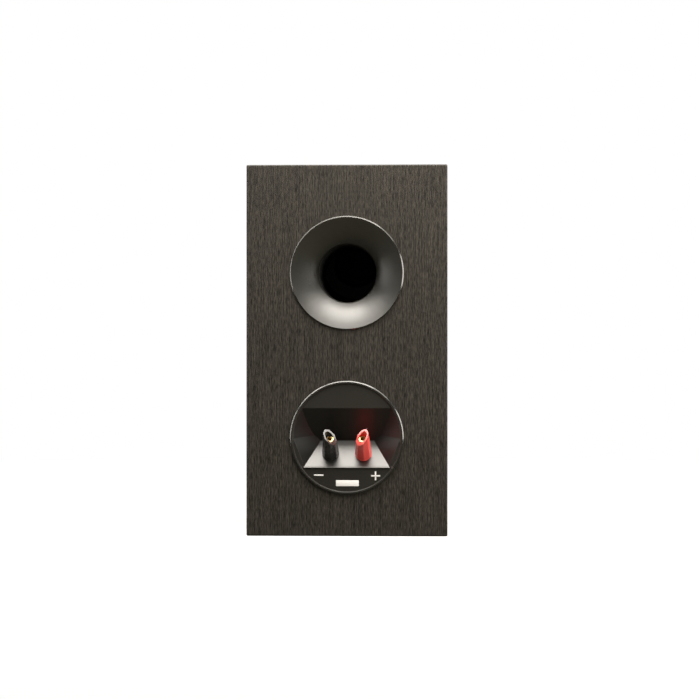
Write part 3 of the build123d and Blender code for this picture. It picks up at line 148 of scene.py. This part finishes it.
# Studio: lengths in metres, lens and sensor in millimetres, brightness as a share of white
WARM = (1.0, 0.945, 0.865)
ROOM_FILL = 0.25
ROOM_DARK = 0.01
FLOOR_SIZE = 14.0
FLOOR_GAP = 0.0002
FLOOR_GLOW = 0.45
SHADOW_REACH = (0.25, 1.3)
CAMERA_PLACE = (-0.0823, 2.02, 0.1557)
CAMERA_TARGET = (-0.0023, 0.12, 0.1557)
CAMERA_LENS = 117.4
CAMERA_SENSOR = 36.0
CAMERA_REACH = 50.0


class Wire:
    """A socket in a node tree. Sums, differences, products and powers of wires add their Math nodes."""

    def __init__(self, socket):
        self.socket = socket

    def node(self, kind, settings, sockets, out=0):
        """Add any node to this tree: its settings first, then the values or links of its sockets."""
        tree = self.socket.id_data
        made = tree.nodes.new("ShaderNode" + kind)
        for key, value in settings.items():
            setattr(made, key, value)
        for key, value in sockets.items():
            if isinstance(value, Wire):
                tree.links.new(value.socket, made.inputs[key])
            else:
                made.inputs[key].default_value = value
        return Wire(made.outputs[out])

    def math(self, operation, first, second=0.0):
        return self.node("Math", {"operation": operation}, {0: first, 1: second})

    def __add__(self, other):
        return self.math("ADD", self, other)

    __radd__ = __add__

    def __sub__(self, other):
        return self.math("SUBTRACT", self, other)

    def __rsub__(self, other):
        return self.math("SUBTRACT", other, self)

    def __mul__(self, other):
        return self.math("MULTIPLY", self, other)

    __rmul__ = __mul__

    def __pow__(self, other):
        return self.math("POWER", self, other)

    def sine(self):
        return self.math("SINE", self)

    def above(self, low, high):
        """0 below low, 1 above high, with a smooth step between."""
        return self.node(
            "MapRange",
            {"interpolation_type": "SMOOTHSTEP"},
            {"Value": self, "From Min": low, "From Max": high, "To Min": 0.0, "To Max": 1.0},
        )

    def along(self, direction):
        """How far these coordinates go in a direction."""
        return self.node("VectorMath", {"operation": "DOT_PRODUCT"}, {0: self, 1: direction}, out="Value")

    def stretched(self, x, y, z):
        return self.node("VectorMath", {"operation": "MULTIPLY"}, {0: self, 1: (x, y, z)})

    def noise(self, scale, detail, rough):
        return self.node(
            "TexNoise", {}, {"Vector": self, "Scale": scale, "Detail": detail, "Roughness": rough}
        )

    def cells(self, scale):
        return self.node("TexVoronoi", {}, {"Vector": self, "Scale": scale}, out="Distance")

    def mix(self, first, second):
        """Colour that goes from the first to the second as this value goes from 0 to 1."""
        return self.node("Mix", {"data_type": "RGBA"}, {0: self, 6: first, 7: second}, out=2)

    def bump(self, strength, distance):
        return self.node("Bump", {}, {"Height": self, "Strength": strength, "Distance": distance})

    def ray(self, kind):
        """1 for rays of one kind, such as Camera, and 0 for the others."""
        return self.node("LightPath", {}, {}, out=f"Is {kind} Ray")


def grey(level):
    return (level, level, level, 1.0)


def shade(red, green, blue):
    return (red, green, blue, 1.0)


def coordinates(owner, kind):
    """Clear the nodes of a material or world, apart from its output, and add coordinates of a kind."""
    owner.use_nodes = True
    tree = owner.node_tree
    for old in list(tree.nodes):
        if not old.type.startswith("OUTPUT"):
            tree.nodes.remove(old)
    return Wire(tree.nodes.new("ShaderNodeTexCoord").outputs[kind])


def finish(name):
    """New finish: its material and its Object coordinates."""
    material = bpy.data.materials.new(name)
    return material, coordinates(material, "Object")


def show(owner, shader):
    """Link a shader to the output of a material or world."""
    output = owner.node_tree.get_output_node("ALL")
    owner.node_tree.links.new(shader.socket, output.inputs["Surface"])
    return owner


def surface(material, place, varying, fixed=None):
    """Principled surface of a finish: what varies is linked, what is the same all over is set directly."""
    return show(material, place.node("BsdfPrincipled", {}, {**varying, **(fixed or {})}))


def drawn_out(axis, across, along):
    """Scale of a pattern that is drawn out along one axis: 0 for x, 1 for y, 2 for z."""
    scale = [across, across, across]
    scale[axis] = along
    return scale


def ash_wrap(name, grain_axis):
    """Dark ash-grain vinyl: short streaks, long threads and pores, drawn out along the grain."""
    material, place = finish(name)
    streak = place.stretched(*drawn_out(grain_axis, *GRAIN_STREAKS)).noise(1.0, 3.0, 0.65)
    thread = place.stretched(*drawn_out(grain_axis, *GRAIN_THREADS)).noise(1.0, 2.0, 0.5)
    pore = place.stretched(*drawn_out(grain_axis, *GRAIN_PORES)).noise(1.0, 1.0, 0.4).above(0.54, 0.66)
    tone = streak.above(0.36, 0.64) * 0.64 + thread.above(0.36, 0.64) * 0.36
    wood = tone.mix(shade(0.0052, 0.0047, 0.0037), shade(0.0565, 0.0505, 0.0430))
    colour = (pore * 0.5).mix(wood, shade(0.0048, 0.0043, 0.0034))
    relief = tone * 0.6 - pore * 0.8
    return surface(
        material,
        place,
        {
            "Base Color": colour,
            "Roughness": 0.46 + pore * 0.16 + (1 - tone) * 0.08,
            "Normal": relief.bump(0.3, 0.00014),
        },
        {"Specular IOR Level": 0.28},
    )


def fine_grained(name, low, high, rough, spread, grain, depth, level=0.5):
    """Moulded, painted or printed surface: a fine grain, small shifts of sheen and a few grey specks."""
    material, place = finish(name)
    fleck = place.noise(grain, 3.0, 0.6)
    cloud = place.noise(38.0, 3.0, 0.55)
    speck = place.noise(2600.0, 1.0, 0.5).above(0.73, 0.78)
    colour = (cloud * 0.6 + fleck * 0.4).mix(low, high)
    return surface(
        material,
        place,
        {
            "Base Color": (speck * 0.25).mix(colour, grey(0.09)),
            "Roughness": rough + (cloud - 0.5) * spread + (fleck - 0.5) * spread * 0.6,
            "Normal": fleck.bump(depth, 0.00008),
        },
        {"Specular IOR Level": level},
    )


def outer_edge(place, center, radius, width):
    """1 on the outer edge of a round fitting that faces front to back, 0 further in."""
    across = place.along((1, 0, 0)) - center.x
    upward = place.along((0, 0, 1)) - center.z
    distance = (across * across + upward * upward) ** 0.5
    return distance.above(radius - width[0], radius - width[1])


def cup_moulding(name):
    """Black moulding: satin recess, polished tray, spark-eroded flat faces and a bright outer edge. The
    recess, tray and edge are darker than the proud faces: partly the satin's own colour, partly painted
    shade in the recess.
    """
    material, place = finish(name)
    outer = place.along((0, 1, 0)).above(BACK + FACES_PROUD[0], BACK + FACES_PROUD[1])
    edge = outer_edge(place, CUP, CUP_RADIUS, CUP_EDGE_WIDTH)
    tray_height = place.along(POST_AXIS) - TRAY_LEVEL
    tray = 1 - (tray_height * tray_height).above(TRAY_SKIN[0] ** 2, TRAY_SKIN[1] ** 2)
    fleck = place.noise(3400.0, 3.0, 0.6)
    cloud = place.noise(45.0, 3.0, 0.55)
    # Darker colour for the recess, tray and edge: partly the satin's own colour, partly painted shade in
    # the recess
    dark = cloud.mix(shade(0.0075, 0.0072, 0.0066), shade(0.0115, 0.011, 0.010))
    matte = (cloud * 0.4 + fleck * 0.6).mix(shade(0.011, 0.0104, 0.009), shade(0.027, 0.0255, 0.022))
    rough = 0.40 - tray * 0.07 + outer * (1 - edge) * 0.10 - edge * 0.21
    varying = {
        "Base Color": (outer * (1 - edge)).mix(dark, matte),
        "Roughness": rough + (cloud - 0.5) * 0.07 + (fleck - 0.5) * (0.05 + outer * 0.08),
        "Normal": (fleck * (0.1 + outer * (1 - edge) * 0.5)).bump(0.3, 0.00006),
    }
    satin = place.node("BsdfPrincipled", {}, {**varying, "Specular IOR Level": 0.33})
    polished = place.node("BsdfPrincipled", {}, {**varying, "Specular IOR Level": 1.0})
    return show(material, place.node("MixShader", {}, {0: tray + edge, 1: satin, 2: polished}))


def port_moulding(name):
    """Satin black flare with a bright outer edge, painted flat black as shade where its throat meets the
    tube.
    """
    material, place = finish(name)
    # Deep in the throat the flare is painted flat black: painted shade
    inside = 1 - place.along((0, 1, 0)).above(TUBE_END + THROAT_DEPTH[0], TUBE_END + THROAT_DEPTH[1])
    edge = outer_edge(place, PORT, PORT_RADIUS, PORT_EDGE_WIDTH)
    grain = place.noise(4200.0, 3.0, 0.6)
    cloud = place.noise(40.0, 3.0, 0.55)
    colour = (cloud * 0.6 + grain * 0.4).mix(shade(0.0065, 0.0064, 0.0046), shade(0.0105, 0.0102, 0.0078))
    return surface(
        material,
        place,
        {
            "Base Color": inside.mix(colour, grey(0.006)),
            "Roughness": 0.36 + (cloud - 0.5) * 0.08 + (grain - 0.5) * 0.06 + inside * 0.6 - edge * 0.17,
            "Normal": grain.bump(0.1, 0.00007),
        },
        {"Specular IOR Level": 1.0},
    )


def smooth_plastic(name, low, high, rough):
    """Glossy plastic with a faint flow pattern, fine dull scuffs and a soft ripple."""
    material, place = finish(name)
    flow = place.stretched(160.0, 160.0, 60.0).noise(1.0, 3.0, 0.6)
    scuff = place.stretched(4200.0, 900.0, 900.0).noise(1.0, 2.0, 0.6).above(0.62, 0.8)
    ripple = place.noise(420.0, 2.0, 0.5)
    return surface(
        material,
        place,
        {
            "Base Color": flow.mix(low, high),
            "Roughness": rough + scuff * 0.05 + (flow - 0.5) * 0.05,
            "Normal": ripple.bump(0.02, 0.0001),
        },
        {"Specular IOR Level": 0.9, "Coat Weight": 0.15, "Coat Roughness": 0.12},
    )


def turned_metal(name, low, high, rough, axis, pitch, depth):
    """Metal turned on a lathe, or threaded: fine rings square to an axis."""
    material, place = finish(name)
    ring = (place.along(axis) * (2 * pi / pitch)).sine()
    stain = place.noise(700.0, 4.0, 0.6)
    return surface(
        material,
        place,
        {
            "Base Color": stain.mix(low, high),
            "Roughness": rough + (stain - 0.5) * 0.16,
            "Normal": (ring * 0.5 + stain * 0.4).bump(depth, 0.00012),
        },
        {"Metallic": 1.0},
    )


def plated_metal(name, low, high, rough):
    """Plain pressed metal with a dull, slightly cloudy plating."""
    material, place = finish(name)
    cloud = place.noise(160.0, 5.0, 0.65)
    draw = place.stretched(300.0, 2600.0, 2600.0).noise(1.0, 2.0, 0.6)
    return surface(
        material,
        place,
        {
            "Base Color": cloud.mix(low, high),
            "Roughness": rough + (cloud - 0.5) * 0.2,
            "Normal": draw.bump(0.12, 0.00006),
        },
        {"Metallic": 1.0},
    )


def fibrous(name, low, high, rough, fibre, depth, sheen=0.0):
    """Paper, felt, foam, board or cement: crossing fibres over a cloudy ground."""
    material, place = finish(name)
    lying = place.stretched(fibre, fibre * 0.22, fibre * 0.3).noise(1.0, 3.0, 0.7)
    standing = place.stretched(fibre * 0.24, fibre, fibre * 1.1).noise(1.0, 3.0, 0.7)
    cloud = place.noise(90.0, 4.0, 0.6)
    nap = lying * 0.5 + standing * 0.5
    tone = nap.above(0.32, 0.68) * 0.7 + cloud * 0.3
    return surface(
        material,
        place,
        {
            "Base Color": tone.mix(low, high),
            "Roughness": rough + (cloud - 0.5) * 0.12,
            "Normal": nap.bump(depth, 0.00022),
        },
        {"Sheen Weight": sheen, "Sheen Roughness": 0.5},
    )


def woven(name, low, high, rough, pitch, depth):
    """Coated cloth: two crossing sets of threads seen from the front of the cabinet."""
    material, place = finish(name)
    warp = (place.along((1, 0, 0)) * (2 * pi / pitch)).sine()
    weft = (place.along((0, 0, 1)) * (2 * pi / pitch)).sine()
    weave = warp * weft * 0.5 + 0.5
    slub = place.noise(900.0, 3.0, 0.6)
    return surface(
        material,
        place,
        {
            "Base Color": (weave * 0.6 + slub * 0.4).mix(low, high),
            "Roughness": rough - weave * 0.1 + (slub - 0.5) * 0.12,
            "Normal": (weave + slub * 0.5).bump(depth, 0.00008),
        },
        {"Coat Weight": 0.25, "Coat Roughness": 0.35},
    )


def wound_wire(name, axis, pitch):
    """Enamelled wire in close turns along an axis, with painted shade between the turns."""
    material, place = finish(name)
    turn = (place.along(axis) * (2 * pi / pitch)).sine() * 0.5 + 0.5
    tint = place.noise(220.0, 3.0, 0.6)
    bright = tint.mix(shade(0.48, 0.17, 0.07), shade(0.72, 0.30, 0.14))
    return surface(
        material,
        place,
        {
            # The dark colour between the turns is painted shade
            "Base Color": turn.above(0.0, 0.35).mix(shade(0.12, 0.04, 0.02), bright),
            "Roughness": 0.24 + tint * 0.16,
            "Normal": turn.bump(0.6, 0.0002),
        },
        {"Metallic": 0.85, "Coat Weight": 0.3},
    )


def printed_board(name):
    """Circuit board with a faint pattern of tracks under its green mask."""
    material, place = finish(name)
    track = place.cells(95.0).above(0.18, 0.22)
    weave = place.noise(1800.0, 2.0, 0.6)
    mask = track.mix(shade(0.03, 0.11, 0.045), shade(0.02, 0.075, 0.03))
    return surface(
        material,
        place,
        {
            "Base Color": (weave * 0.3).mix(mask, shade(0.06, 0.16, 0.08)),
            "Roughness": 0.32 + weave * 0.15,
            "Normal": (track * 0.5 + weave * 0.2).bump(0.15, 0.0001),
        },
    )


wrap_upright = ash_wrap("wrap_upright", grain_axis=2)
wrap_across = ash_wrap("wrap_across", grain_axis=0)
moulding = fine_grained(
    "black_moulding", grey(0.010), grey(0.017), rough=0.30, spread=0.10, grain=5200.0, depth=0.10
)
felt_grey = fibrous("grey_felt", grey(0.10), grey(0.24), rough=0.9, fibre=1500.0, depth=0.7, sheen=0.3)
rubber = fine_grained(
    "black_rubber", grey(0.012), grey(0.020), rough=0.52, spread=0.12, grain=3600.0, depth=0.16, level=0.4
)
cone_paper = fibrous("cone_paper", grey(0.012), grey(0.045), rough=0.66, fibre=1900.0, depth=0.45)
dome_cloth = woven("dome_cloth", grey(0.010), grey(0.034), rough=0.44, pitch=0.00036, depth=0.5)
spider_cloth = woven(
    "spider_cloth", shade(0.34, 0.20, 0.05), shade(0.60, 0.40, 0.14), rough=0.7, pitch=0.0009, depth=0.7
)

SLOT_FINISH = {
    "wrap": wrap_upright,
    "baffle_paint": fine_grained(
        "baffle_paint",
        grey(0.014),
        grey(0.022),
        rough=0.46,
        spread=0.10,
        grain=2300.0,
        depth=0.18,
        level=0.4,
    ),
    "fibreboard": fibrous(
        "fibreboard", shade(0.26, 0.17, 0.09), shade(0.46, 0.33, 0.2), rough=0.85, fibre=1100.0, depth=0.3
    ),
    "felt": felt_grey,
    "black_moulding": moulding,
    "black_cap": smooth_plastic("black_cap", grey(0.020), grey(0.031), rough=0.27),
    "red_cap": smooth_plastic(
        "red_cap", shade(0.92, 0.105, 0.095), shade(0.98, 0.135, 0.120), rough=0.24
    ),
    "gold": turned_metal(
        "gold",
        shade(0.72, 0.50, 0.22),
        shade(0.88, 0.67, 0.35),
        rough=0.52,
        axis=POST_AXIS,
        pitch=0.0005,
        depth=0.15,
    ),
    "steel": plated_metal("zinc_steel", shade(0.36, 0.36, 0.35), shade(0.58, 0.57, 0.55), rough=0.42),
    "ferrite": fine_grained(
        "ferrite", grey(0.05), grey(0.085), rough=0.6, spread=0.12, grain=1400.0, depth=0.3
    ),
    "frame_paint": fine_grained(
        "frame_paint", grey(0.012), grey(0.020), rough=0.40, spread=0.10, grain=2900.0, depth=0.16
    ),
    "rubber": rubber,
    "cone_paper": cone_paper,
    "dome_cloth": dome_cloth,
    "spider_cloth": spider_cloth,
    "gasket_foam": fibrous("gasket_foam", grey(0.02), grey(0.06), rough=0.9, fibre=2600.0, depth=0.6),
    "copper": wound_wire("coil_wire", axis=(0, 1, 0), pitch=0.0004),
    "former_foil": plated_metal(
        "former_foil", shade(0.60, 0.60, 0.60), shade(0.80, 0.80, 0.80), rough=0.28
    ),
    "screw_black": turned_metal(
        "black_screws", grey(0.030), grey(0.075), rough=0.36, axis=(0, 1, 0), pitch=0.0007, depth=0.1
    ),
    "tab_metal": plated_metal(
        "tinned_tabs", shade(0.55, 0.52, 0.45), shade(0.74, 0.71, 0.64), rough=0.34
    ),
    "board": printed_board("circuit_board"),
    "component_film": smooth_plastic(
        "film_sleeve", shade(0.42, 0.27, 0.03), shade(0.56, 0.38, 0.06), rough=0.3
    ),
    "component_ceramic": fibrous(
        "cement_body", shade(0.52, 0.5, 0.45), shade(0.72, 0.7, 0.64), rough=0.8, fibre=800.0, depth=0.3
    ),
    "lead_cover": smooth_plastic("lead_cover", grey(0.015), grey(0.028), rough=0.4),
}

# Each node has the finish of its slot, apart from those below
for row in frame["record"]["subparts"]:
    NODES[row["node"]].data.materials.clear()
    NODES[row["node"]].data.materials.append(SLOT_FINISH[row["material_slot"]])
for node in ("top_panel", "bottom_panel"):
    NODES[node].data.materials[0] = wrap_across
NODES["crossover_windings"].data.materials[0] = wound_wire("inductor_wire", axis=(0, 0, 1), pitch=0.0009)
NODES["terminal_cup"].data.materials[0] = cup_moulding("cup_moulding")
NODES["port_flare"].data.materials[0] = port_moulding("port_moulding")
NODES["port_tube"].data.materials[0] = fine_grained(
    "tube_card", grey(0.014), grey(0.022), rough=0.92, spread=0.06, grain=1800.0, depth=0.2, level=0.05
)


def start(name):
    """Name the primitive that was just added."""
    made = bpy.context.object
    made.name = name
    made.data.name = name
    return made


def pick(piece):
    """Select one piece alone."""
    bpy.ops.object.select_all(action="DESELECT")
    piece.select_set(True)
    bpy.context.view_layer.objects.active = piece


def settle(piece):
    """Put a piece's place into its mesh."""
    pick(piece)
    bpy.ops.object.transform_apply(location=True, rotation=True, scale=True)


def modify(piece, kind, **settings):
    """Add a modifier, set it and apply it."""
    pick(piece)
    modifier = piece.modifiers.new(kind.lower(), kind)
    for key, value in settings.items():
        setattr(modifier, key, value)
    bpy.ops.object.modifier_apply(modifier=modifier.name)


def dress(piece, material, body):
    """Finish a new piece and let it ride on a body, if it has one body alone."""
    piece.data.materials.clear()
    piece.data.materials.append(material)
    if body:
        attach(piece, body)


def spun(name, middle_point, profile, steps):
    """Turn a profile of (radius, depth) points about a front-to-back axis.

    Depth runs in from the baffle's face.
    """
    bpy.ops.object.select_all(action="DESELECT")
    bpy.ops.mesh.primitive_plane_add(size=0.001, location=(0, 0, 0))
    piece = start(name)
    bpy.ops.object.mode_set(mode="EDIT")
    bpy.ops.mesh.select_all(action="SELECT")
    bpy.ops.mesh.merge(type="CENTER")
    bpy.ops.mesh.select_all(action="SELECT")
    axis_point = Vector((middle_point.x, FRONT, middle_point.z))
    last = Vector((0, 0, 0))
    for number, (radius, depth) in enumerate(profile):
        point = axis_point + Vector((radius, depth, 0))
        step = {"value": tuple(point - last)}
        if number == 0:
            bpy.ops.transform.translate(**step)
        else:
            bpy.ops.mesh.extrude_region_move(TRANSFORM_OT_translate=step)
        last = point
    bpy.ops.mesh.select_all(action="SELECT")
    bpy.ops.mesh.spin(steps=steps, angle=2 * pi, center=tuple(axis_point), axis=(0, 1, 0))
    bpy.ops.mesh.select_all(action="SELECT")
    bpy.ops.mesh.remove_doubles(threshold=0.00001)
    bpy.ops.mesh.normals_make_consistent(inside=False)
    bpy.ops.object.mode_set(mode="OBJECT")
    return piece


def smooth(piece, angle):
    """Shade a piece smooth over edges that turn by less than an angle."""
    pick(piece)
    bpy.ops.object.shade_smooth_by_angle(angle=radians(angle))


def hang(piece, middle_point, bend):
    """Put a round suspension's place into its mesh and work out, for each point, a share between its
    moving inner radius and its fixed outer one. The share is not used, so nothing bends.
    """
    inner, outer = bend
    axis_point = Vector((middle_point.x, FRONT, middle_point.z))
    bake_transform(piece)
    # The share goes by distance from the axis, the same all round, and is left unused
    for vertex in piece.data.vertices:
        away = vertex.co - axis_point
        radius = (away.x**2 + away.z**2) ** 0.5
        share = min(max((outer - radius) / (outer - inner), 0.0), 1.0)
        share * share * (3 - 2 * share)


def half_roll(center, depth, radius, count):
    """Points over a half roll, from its outer foot to its inner one."""
    turns = [pi * step / count for step in range(count + 1)]
    return [(center + radius * cos(turn), depth - radius * sin(turn)) for turn in turns]


# Rubber half-roll surround of the woofer, with a lip on either side
profile = WOOFER_OUTER_LIP + half_roll(**WOOFER_ROLL) + WOOFER_INNER_LIP
woofer_roll = spun("woofer_rubber_roll", WOOFER, profile, steps=120)
modify(woofer_roll, "SOLIDIFY", thickness=WOOFER_RUBBER, offset=0.0)
smooth(woofer_roll, ROLL_SMOOTHING)
dress(woofer_roll, rubber, None)
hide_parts("woofer_surround")
hang(woofer_roll, WOOFER, WOOFER_BEND)

# Cloth roll around the tweeter's dome
profile = TWEETER_OUTER_LIP + half_roll(**TWEETER_ROLL)
tweeter_roll = spun("tweeter_cloth_roll", TWEETER, profile, steps=72)
modify(tweeter_roll, "SOLIDIFY", thickness=TWEETER_CLOTH, offset=0.0)
smooth(tweeter_roll, ROLL_SMOOTHING)
dress(tweeter_roll, dome_cloth, None)
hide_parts("tweeter_surround")
hang(tweeter_roll, TWEETER, TWEETER_BEND)

# Corrugated cloth spider behind the cone
waves_inner, waves_outer = SPIDER_BEND
profile = [(SPIDER_RIM, SPIDER_DEPTH), (waves_outer, SPIDER_DEPTH)]
for step in range(1, SPIDER_STEPS + 1):
    share = step / SPIDER_STEPS
    wave = SPIDER_WAVE_HEIGHT * sin(2 * pi * SPIDER_WAVE_COUNT * share)
    profile.append((waves_outer - (waves_outer - waves_inner) * share, SPIDER_DEPTH + wave))
profile += [(SPIDER_NECK, SPIDER_DEPTH), (SPIDER_HOLE, SPIDER_DEPTH)]
spider = spun("woofer_cloth_spider", WOOFER, profile, steps=96)
modify(spider, "SOLIDIFY", thickness=SPIDER_CLOTH, offset=0.0)
smooth(spider, ROLL_SMOOTHING)
dress(spider, spider_cloth, None)
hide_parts("woofer_spider")
hang(spider, WOOFER, SPIDER_BEND)


def plate(name, low, high, edge):
    """Plate or pad between two corners: a block with all its edges bevelled."""
    bpy.ops.object.select_all(action="DESELECT")
    bpy.ops.mesh.primitive_cube_add(size=1.0, location=[(near + far) / 2 for near, far in zip(low, high)])
    piece = start(name)
    piece.scale = [far - near for near, far in zip(low, high)]
    settle(piece)
    modify(piece, "BEVEL", width=edge, segments=3, limit_method="NONE")
    smooth(piece, PLATE_SMOOTHING)
    return piece


# Printed polarity signs and a bare white plate on the lower face of the cup
print_white = fine_grained(
    "print_white", grey(0.80), grey(0.88), rough=0.55, spread=0.1, grain=3000.0, depth=0.1
)
plate_white = fine_grained(
    "plate_white", grey(0.82), grey(0.90), rough=0.42, spread=0.1, grain=2400.0, depth=0.08
)


def stroke(name, middle_place, width, height):
    """Printed stroke, half sunk in the face that carries it."""
    x, rise = middle_place
    z = CUP.z + rise
    piece = plate(
        name,
        (x - width / 2, LABEL_FACE - PRINT_PROUD, z - height / 2),
        (x + width / 2, LABEL_FACE + PRINT_PROUD, z + height / 2),
        PRINT_EDGE,
    )
    dress(piece, print_white, "cabinet")


stroke("minus_sign", MINUS_PLACE, MINUS_LENGTH, SIGN_STROKE)
stroke("plus_sign_across", PLUS_PLACE, PLUS_LENGTH, SIGN_STROKE)
stroke("plus_sign_upright", PLUS_PLACE, SIGN_STROKE, PLUS_LENGTH)

bare_plate = plate(
    "bare_plate",
    (PLATE_LOW[0], LABEL_FACE - PRINT_PROUD, CUP.z + PLATE_LOW[1]),
    (PLATE_HIGH[0], LABEL_FACE + PLATE_PROUD, CUP.z + PLATE_HIGH[1]),
    PLATE_EDGE,
)
dress(bare_plate, plate_white, "cabinet")

# Felt pads on the side walls, below and above the brace
felt_low, felt_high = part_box("felt_lining")
brace_low, brace_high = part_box("window_brace")
below_brace = (felt_low.z, brace_low.z - BRACE_GAP)
above_brace = (brace_high.z + BRACE_GAP, felt_high.z)
pads = []
for side in (-1, 1):
    for bottom, top in (below_brace, above_brace):
        near, far = sorted((side * felt_high.x, side * (felt_high.x - FELT_THICKNESS)))
        low_corner = (near, felt_low.y, bottom)
        high_corner = (far, felt_high.y, top)
        pads.append(plate(f"felt_pad_{len(pads)}", low_corner, high_corner, FELT_EDGE))
for pad in pads:
    dress(pad, felt_grey, "cabinet")
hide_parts("felt_lining")

# Studio
scene = bpy.context.scene
scene.view_settings.view_transform = "Standard"


def aim(holder, place, target):
    """Place a lamp or the camera and point it at a target."""
    holder.location = place
    gaze = Vector(target) - Vector(place)
    holder.rotation_euler = gaze.to_track_quat("-Z", "Y").to_euler()
    scene.collection.objects.link(holder)


def softbox(name, place, target, size_x, size_y, radiance, tint=(1.0, 1.0, 1.0), mirrored=True):
    """Rectangular lamp aimed at a point. One that isn't mirrored lights surfaces but makes no gloss."""
    lamp = bpy.data.lights.new(name, "AREA")
    lamp.shape = "RECTANGLE"
    lamp.size = size_x
    lamp.size_y = size_y
    lamp.energy = radiance * pi * size_x * size_y
    lamp.color = tint
    holder = bpy.data.objects.new(name, lamp)
    holder.visible_glossy = mirrored
    aim(holder, place, target)


# Name, place, target, width, height and radiance of each lamp. The last two light the drivers' side
softbox("overhead_strip", (-0.03, 0.235, 0.68), (-0.03, 0.225, 0.1), 0.55, 0.25, 10.5, WARM)
softbox("overhead_softbox", (-0.03, 0.37, 0.71), (-0.03, 0.36, 0.1), 1.25, 0.60, 4.0, WARM)
softbox("edge_light_right", (-0.85, 0.14, 0.28), (0, 0.12, 0.19), 0.28, 0.50, 8.5, WARM)
softbox("edge_light_left", (0.85, 0.16, 0.24), (0, 0.12, 0.17), 0.24, 0.50, 8.0, WARM)
softbox("rim_light_left", (0.52, 0.13, 0.66), (0, 0.12, 0.18), 0.12, 0.45, 11.0, WARM)
softbox("key_light_right", (-0.36, 0.45, 0.55), (0, 0.12, 0.20), 0.25, 0.28, 11.0, WARM, mirrored=False)
softbox("low_light_right", (-0.75, 0.90, 0.22), (0, 0.12, 0.12), 0.40, 0.40, 9.4, WARM, mirrored=False)
softbox("front_softbox_left", (-1.2, -1.5, 1.1), (0, -0.1, 0.16), 0.9, 0.9, 12.0)
softbox("front_softbox_right", (1.2, -1.4, 0.9), (0, -0.1, 0.16), 0.9, 0.9, 8.0)

# The room is white for the camera and, on the drivers' side, for gloss. It is dark where the back faces it
world = bpy.data.worlds.new("studio")
scene.world = world
heading = coordinates(world, "Generated")
shiny_ray = heading.ray("Glossy") + heading.ray("Transmission")
backdrop = heading.along((0, -1, 0)).above(-0.1, 0.5)
dark_room = heading.along((0, 1, 0)).above(0.2, 0.85)
fill = ROOM_FILL - dark_room * (ROOM_FILL - ROOM_DARK) + shiny_ray * backdrop * (1 - ROOM_FILL)
level = fill + heading.ray("Camera") * (1 - fill)
show(world, heading.node("Background", {}, {"Color": grey(1.0), "Strength": level}))

bpy.ops.object.select_all(action="DESELECT")
bpy.ops.mesh.primitive_plane_add(size=FLOOR_SIZE, location=(0, 0, cad_low.z - FLOOR_GAP))
floor = start("studio_floor")

# To the camera the floor is white, with a soft shadow near the cabinet. It sends little light back up
floor_paint, place = finish("pale_floor")
away = (place.along((1, 0, 0)) ** 2 + place.along((0, 1, 0)) ** 2) ** 0.5
matte = place.node("BsdfDiffuse", {}, {"Color": grey(0.8)})
white = place.node("Emission", {}, {"Color": grey(1.0), "Strength": 1.0})
glow = FLOOR_GLOW + away.above(*SHADOW_REACH) * (1 - FLOOR_GLOW)
pale = place.node("MixShader", {}, {0: glow, 1: matte, 2: white})
bounce = place.node("BsdfDiffuse", {}, {"Color": shade(0.070, 0.067, 0.051)})
show(floor_paint, place.node("MixShader", {}, {0: place.ray("Camera"), 1: bounce, 2: pale}))
floor.data.materials.append(floor_paint)

camera = bpy.data.cameras.new("camera")
camera.sensor_width = CAMERA_SENSOR
camera.lens = CAMERA_LENS
camera.clip_end = CAMERA_REACH
eye = bpy.data.objects.new("camera", camera)
aim(eye, CAMERA_PLACE, CAMERA_TARGET)
scene.camera = eye
